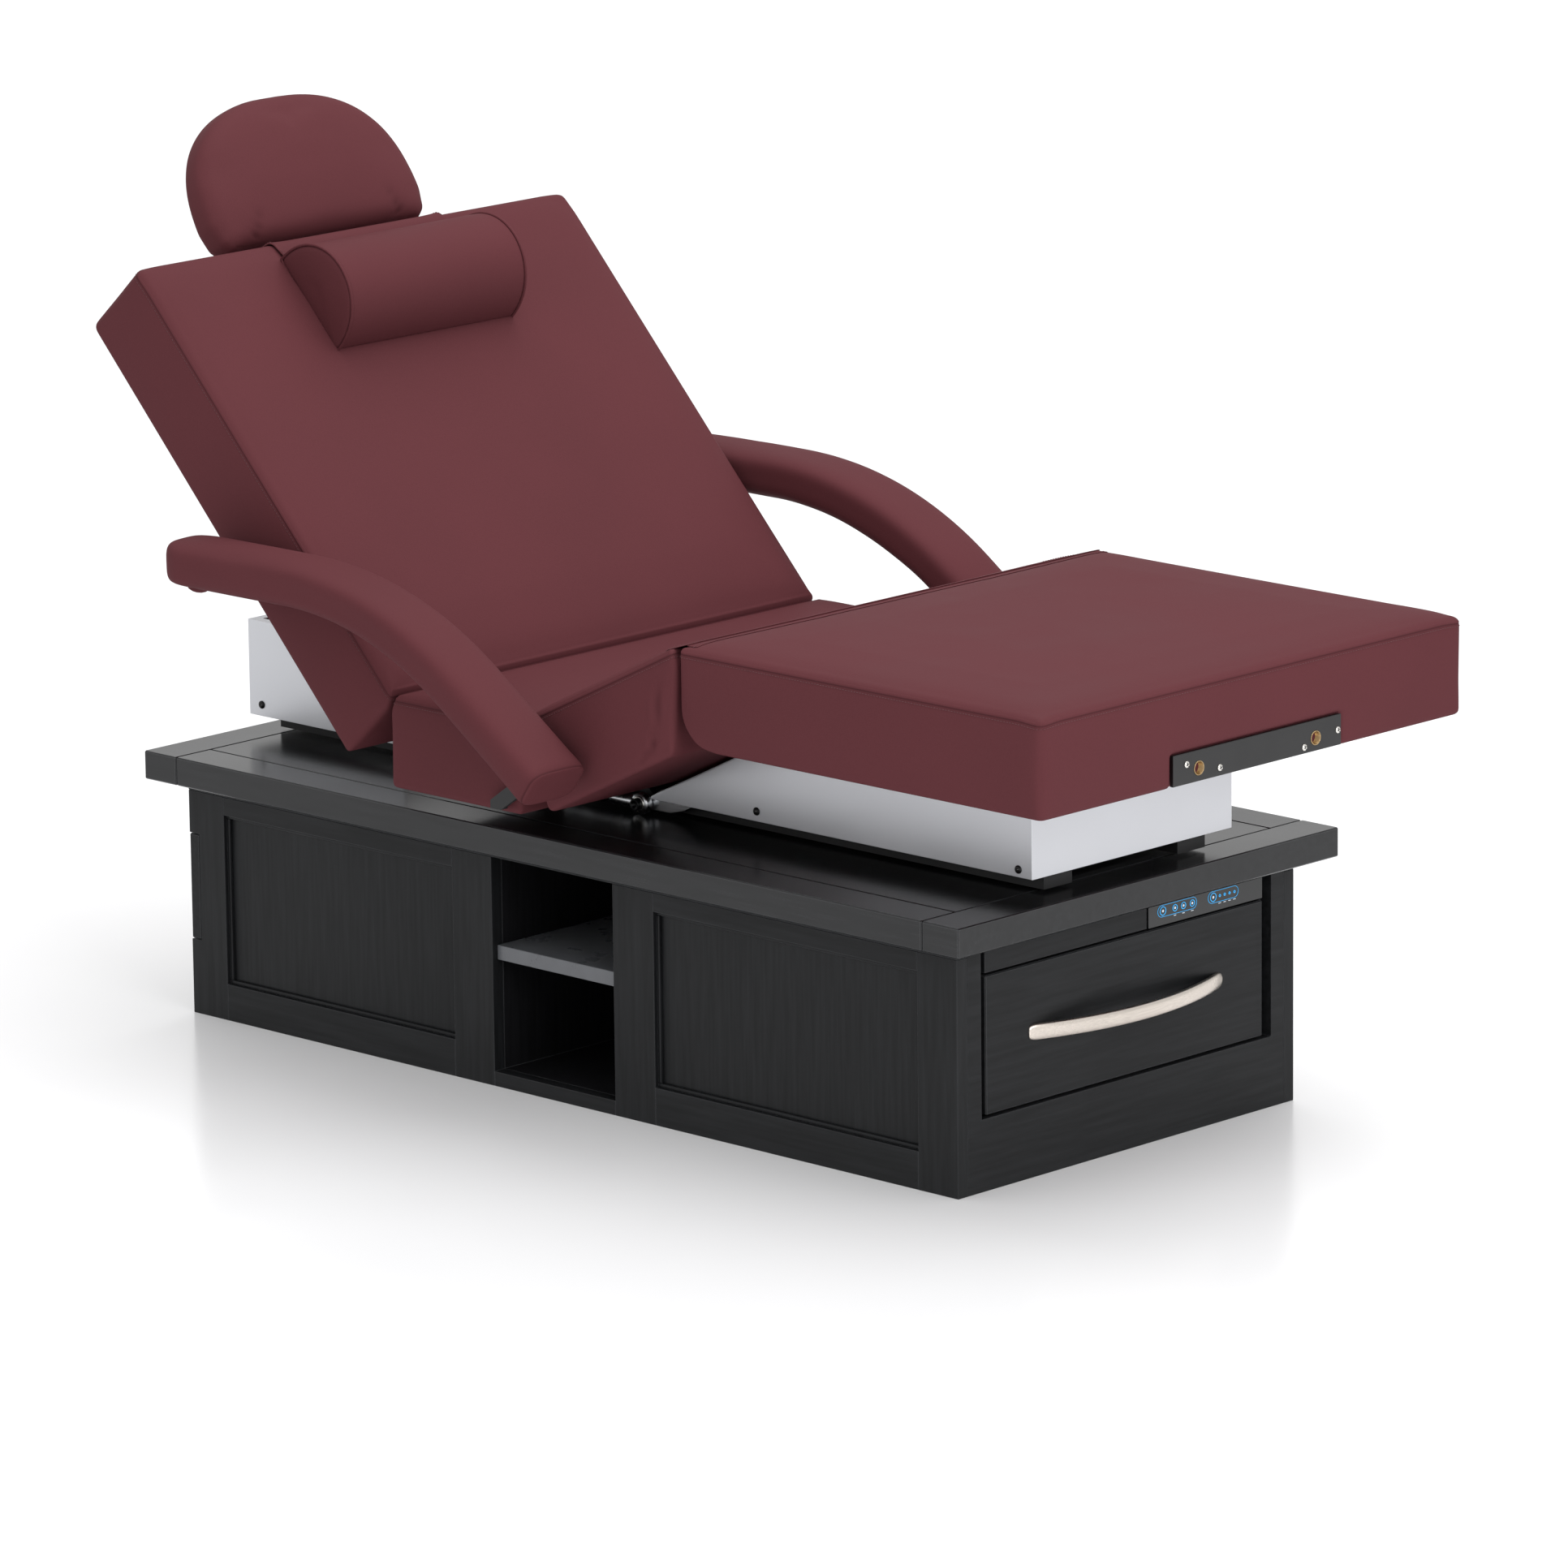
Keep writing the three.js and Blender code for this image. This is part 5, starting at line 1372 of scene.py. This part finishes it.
def dome_screw(centre, direction, radius, head, painted_socket):
    """A low domed head with a disc in its socket, in its own material: painted shade on a bright
    head, a painted highlight on a black one.
    """
    height = radius * 0.55
    profile = [(radius, 0), (radius, height * 0.25)]
    profile += [(radius * math.cos(a), height * (0.25 + 0.75 * math.sin(a)))
                for a in (0.35, 0.7, 1.0, 1.2)]
    top = height * (0.25 + 0.75 * math.sin(1.2))
    profile += [(radius * 0.33, top), (radius * 0.3, top * 0.45)]
    dome = lathe("screw", profile, centre, direction, head, 24)
    lifted = Vector(centre) + Vector(direction) * top * 0.5
    flat = [(radius * 0.3, 0), (radius * 0.3, 0.0001)]
    socket = lathe("socket", flat, lifted, direction, painted_socket, 6)
    return [dome, socket]


def cross_screw(centre, direction, radius):
    """A bright pan head with a cross recess; the recess and socket are drawn in black oxide,
    painted shade.
    """
    parts = dome_screw(centre, direction, radius, SCREW_STEEL, BLACK_OXIDE)
    where = aimed(Vector(centre) + Vector(direction) * radius * 0.5, direction)
    arm, half = radius * 0.62, radius * 0.1
    # black oxide bars: painted shade in the cross recess
    for turn in (0.4, 0.4 + math.pi / 2):
        bar = extruded("cross", rectangle(-arm, arm, -half, half), "z", -0.0005, 0.0002,
                       BLACK_OXIDE, 0.0001)
        bar.data.transform(where @ Matrix.Rotation(turn, 4, "Z"))
        parts.append(bar)
    return parts


def fixed(name, parts, body, slot):
    for part in parts:
        if part.modifiers:
            apply_modifiers(part)
    place(joined(name, parts), body, slot)


SKIRT_SCREW_R = 0.0052
PLATE_SCREW_R = 0.0042
SLEEVE = [(0.0077, -0.020), (0.0077, 0.0002), (0.0081, 0.0006), (0.0088, 0.0005), (0.0089, -0.0002)]
SKIRT_SCREWS = {"skirt_head": [(-0.662, 0.385)], "skirt_foot": [(0.222, 0.383), (0.656, 0.380)]}
skirt_screws = []
for node, spots in SKIRT_SCREWS.items():
    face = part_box(node)[1].y
    for x, z in spots:
        for side in (-1, 1):
            # black screws; the bright steel disc in each socket is a painted highlight
            skirt_screws += dome_screw((x, side * face, z), (0, side, 0), SKIRT_SCREW_R,
                                       BLACK_OXIDE, SCREW_STEEL)
fixed("skirt_screws", skirt_screws, "lifting_top", "dark_frame")

PLATE_SCREWS = [(-0.127, 0.533), (-0.068, 0.519), (0.084, 0.517), (0.145, 0.528)]
SOCKET_Y = 0.105
SOCKET_Z = 0.525
plate_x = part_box("foot_socket_plate")[1].x
plate_parts = []
for y, z in PLATE_SCREWS:
    plate_parts += cross_screw((plate_x, y, z), (1, 0, 0), PLATE_SCREW_R)
fixed("socket_plate_screws", plate_parts, "lifting_top", "zinc_steel")
sleeves = [
    lathe("sleeve", SLEEVE, (plate_x, side * SOCKET_Y, SOCKET_Z), (1, 0, 0), SOCKET_LINER, 32,
          open_end=True)
    for side in SIDES
]
fixed("socket_sleeves", sleeves, "lifting_top", "zinc_steel")

# ---- recline links

LINK_DROP = 0.118
LINK_END_R = 0.010
LINK_Y = (0.158, 0.166)
LINK_DEPTHS = ((0.0, 0.010), (0.012, 0.015), (0.035, 0.026), (0.060, 0.031), (0.200, 0.028),
               (0.299, 0.012))


def build_link(side):
    """A wide pressed link from the chassis to the seat, with its pivot hub and bolt."""
    low = np.array([SEAT_AXIS.x, SEAT_AXIS.z - LINK_DROP])
    along = np.array([math.cos(THIGH_DROP), math.sin(THIGH_DROP)])
    across = np.array([along[1], -along[0]])
    below = [low + along * s + across * d for s, d in LINK_DEPTHS]
    high = low + along * THIGH_L
    start, end = math.pi / 2 + THIGH_DROP, 3 * math.pi / 2 + THIGH_DROP
    rear = arc(*low, LINK_END_R, LINK_END_R, start, end, 8)[1:-1]
    front = arc(*high, LINK_END_R, LINK_END_R, end, start + 2 * math.pi, 8)[1:-1]
    top = [high - across * 0.005, low - across * 0.005]
    outline = [tuple(p) for p in rear + below + front + top]
    where = SIDES[side]
    y0, y1 = sorted(side * y for y in LINK_Y)
    plate = extruded("link_plate_" + where, outline, "y", y0, y1, ZINC, 0.0012)
    apply_modifiers(plate)
    place(plate, "links", "zinc_steel", "parallel_link_" + where)
    out = Vector((0, side, 0))
    pivot = Vector((low[0], side * (LINK_Y[1] + 0.0008), low[1]))
    drum = [(0.0130, 0), (0.0140, 0.001), (0.0140, 0.009), (0.0127, 0.0105), (0.006, 0.0105)]
    washer = [(0.0095, 0), (0.0100, 0.0004), (0.0100, 0.0014), (0.0093, 0.0018)]
    head = [(0.0078, 0), (0.0078, 0.0062), (0.0072, 0.0070), (0.0043, 0.0070), (0.0040, 0.0035)]
    parts = [
        lathe("drum", drum, pivot, out, ZINC, 36),
        lathe("washer", washer, pivot + out * 0.0105, out, SCREW_STEEL, 32),
        lathe("bolt", head, pivot + out * 0.0123, out, BLACK_OXIDE, 28),
    ]
    tail = pivot + out * 0.004
    parts.append(tube("tail", [tail + Vector((-0.009, 0, 0)), tail + Vector((-0.130, 0, 0.002))],
                      0.0085, ZINC, 20))
    fixed("link_hub_" + where, parts, "seat", "zinc_steel")


for side in SIDES:
    build_link(side)

# ---- touch panel marks

MARK_Z = 0.2845
TICK_Z = (0.2748, 0.2756)
TICK_HALF = 0.0022
PILL_R = 0.0072
LARGE_RING_R = 0.0052
PILLS = (
    {"span": (0.0575, 0.1285), "large": 0.0670, "small": (0.0890, 0.1045, 0.1205), "r": 0.0040},
    {"span": (0.1495, 0.2050), "large": 0.1590, "small": (0.1710, 0.1800, 0.1890, 0.1980),
     "r": 0.0014},
)


def ring(centre, radius):
    path = [(centre[0], centre[1] + radius * math.cos(a), centre[2] + radius * math.sin(a))
            for a in np.linspace(0, 2 * math.pi, 29)[:-1]]
    return tube("ring", path, 0.0005, CYAN, 6, closed=True)


def dot(centre, radius):
    return lathe("dot", [(radius, 0), (radius - 0.0002, 0.0003)], centre, (1, 0, 0), PALE_MARK, 16)


def build_marks():
    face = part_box("touch_panel")[1].x + 0.0002
    lit, pale = [], []
    for pill in PILLS:
        y0, y1 = pill["span"]
        r = PILL_R
        path = arc(y0 + r, MARK_Z, r, r, math.pi / 2, 3 * math.pi / 2, 10)
        path += arc(y1 - r, MARK_Z, r, r, -math.pi / 2, math.pi / 2, 10)
        lit.append(tube("pill", [(face, y, z) for y, z in path], 0.0003, CYAN, 6, closed=True))
        lit.append(ring((face, pill["large"], MARK_Z), LARGE_RING_R))
        pale.append(dot((face, pill["large"], MARK_Z), 0.0018))
        for y in pill["small"]:
            lit.append(ring((face, y, MARK_Z), pill["r"]))
            if pill["r"] > 0.002:
                pale.append(dot((face, y, MARK_Z), 0.0017))
            tick = rectangle(y - TICK_HALF, y + TICK_HALF, *TICK_Z)
            pale.append(extruded("tick", tick, "x", face - 0.0002, face + 0.0001, PALE_MARK,
                                 0.0001))
    fixed("touch_marks", lit, "cabinet", "touch_panel")
    fixed("touch_ticks", pale, "cabinet", "touch_panel")


build_marks()

# ---- stage, light and camera

CAMERA_AZ = math.radians(44.045)
CAMERA_EL = math.radians(13.214)
CAMERA_ROLL = math.radians(-0.645)
CAMERA_DISTANCE = 11.947
CAMERA_TARGET = Vector((0.09498, 0, 0.36582))
CAMERA_LENS = 220.4
LIGHT_WATTS = 92
SURROUND_LIGHT = 0.86
SURROUND_SHOWN = 1.05
FLOOR_HALF = 40
FLOOR_LIFT = (0.08, 0.30)  # floor glow near the table, and far behind it
FLOOR_LIFT_REACH = (1.5, 9.0)


def add_camera():
    back = Vector((math.sin(CAMERA_AZ) * math.cos(CAMERA_EL),
                   -math.cos(CAMERA_AZ) * math.cos(CAMERA_EL), math.sin(CAMERA_EL)))
    right = Vector((math.cos(CAMERA_AZ), math.sin(CAMERA_AZ), 0))
    up = back.cross(right)
    c, s = math.cos(CAMERA_ROLL), math.sin(CAMERA_ROLL)
    data = bpy.data.cameras.new("photo_camera")
    data.lens = CAMERA_LENS
    data.sensor_width = 36
    data.clip_end = 100
    camera = linked("photo_camera", data)
    turn = Matrix((right * c + up * s, up * c - right * s, back)).transposed()
    where = Matrix.Translation(CAMERA_TARGET + back * CAMERA_DISTANCE)
    camera.matrix_world = where @ turn.to_4x4()
    scene.camera = camera


def add_light(name, position, aim, size):
    data = bpy.data.lights.new(name, "AREA")
    data.shape = "RECTANGLE"
    data.size, data.size_y = size
    data.energy = LIGHT_WATTS
    linked(name, data).matrix_world = aimed(position, Vector(aim) - Vector(position), "-Z")


def add_stage():
    """White floor and surround; the surround lights less than it shows to the camera."""
    look = Shader("white_floor", (0.93, 0.93, 0.94), 0.22, Specular_IOR_Level=0.9)
    cloud = look.noise(2, detail=2)
    look.drive(Roughness=look.ramp(cloud, to_low=0.18, to_high=0.26))
    look.drive(Emission_Color=(1, 1, 1))
    away = look.add("ShaderNodeVectorMath", {0: look.position}, operation="LENGTH").outputs["Value"]
    look.drive(Emission_Strength=look.ramp(away, *FLOOR_LIFT_REACH, *FLOOR_LIFT))
    corners = rectangle(-FLOOR_HALF, FLOOR_HALF, -FLOOR_HALF, FLOOR_HALF)
    floor = mesh_object("studio_floor", [(x, y, 0) for x, y in corners], [(0, 1, 2, 3)],
                        look.material, smooth=False)
    world = bpy.data.worlds.new("studio")
    scene.world = world
    world.use_nodes = True
    tree = world.node_tree
    background = tree.nodes["Background"]
    background.inputs[0].default_value = (1, 1, 1, 1)
    path = tree.nodes.new("ShaderNodeLightPath")
    strength = tree.nodes.new("ShaderNodeMapRange")
    strength.inputs["To Min"].default_value = SURROUND_LIGHT
    strength.inputs["To Max"].default_value = SURROUND_SHOWN
    tree.links.new(path.outputs["Is Camera Ray"], strength.inputs["Value"])
    tree.links.new(strength.outputs[0], background.inputs[1])
    scene.view_settings.view_transform = "Standard"


add_stage()
add_light("overhead_softbox", (0.2, 0.6, 4.0), (0.1, 0, 0.4), (4, 3))
add_light("foot_softbox", (5.0, -1.6, 2.4), (0.3, 0, 0.5), (2.4, 2.0))
add_camera()
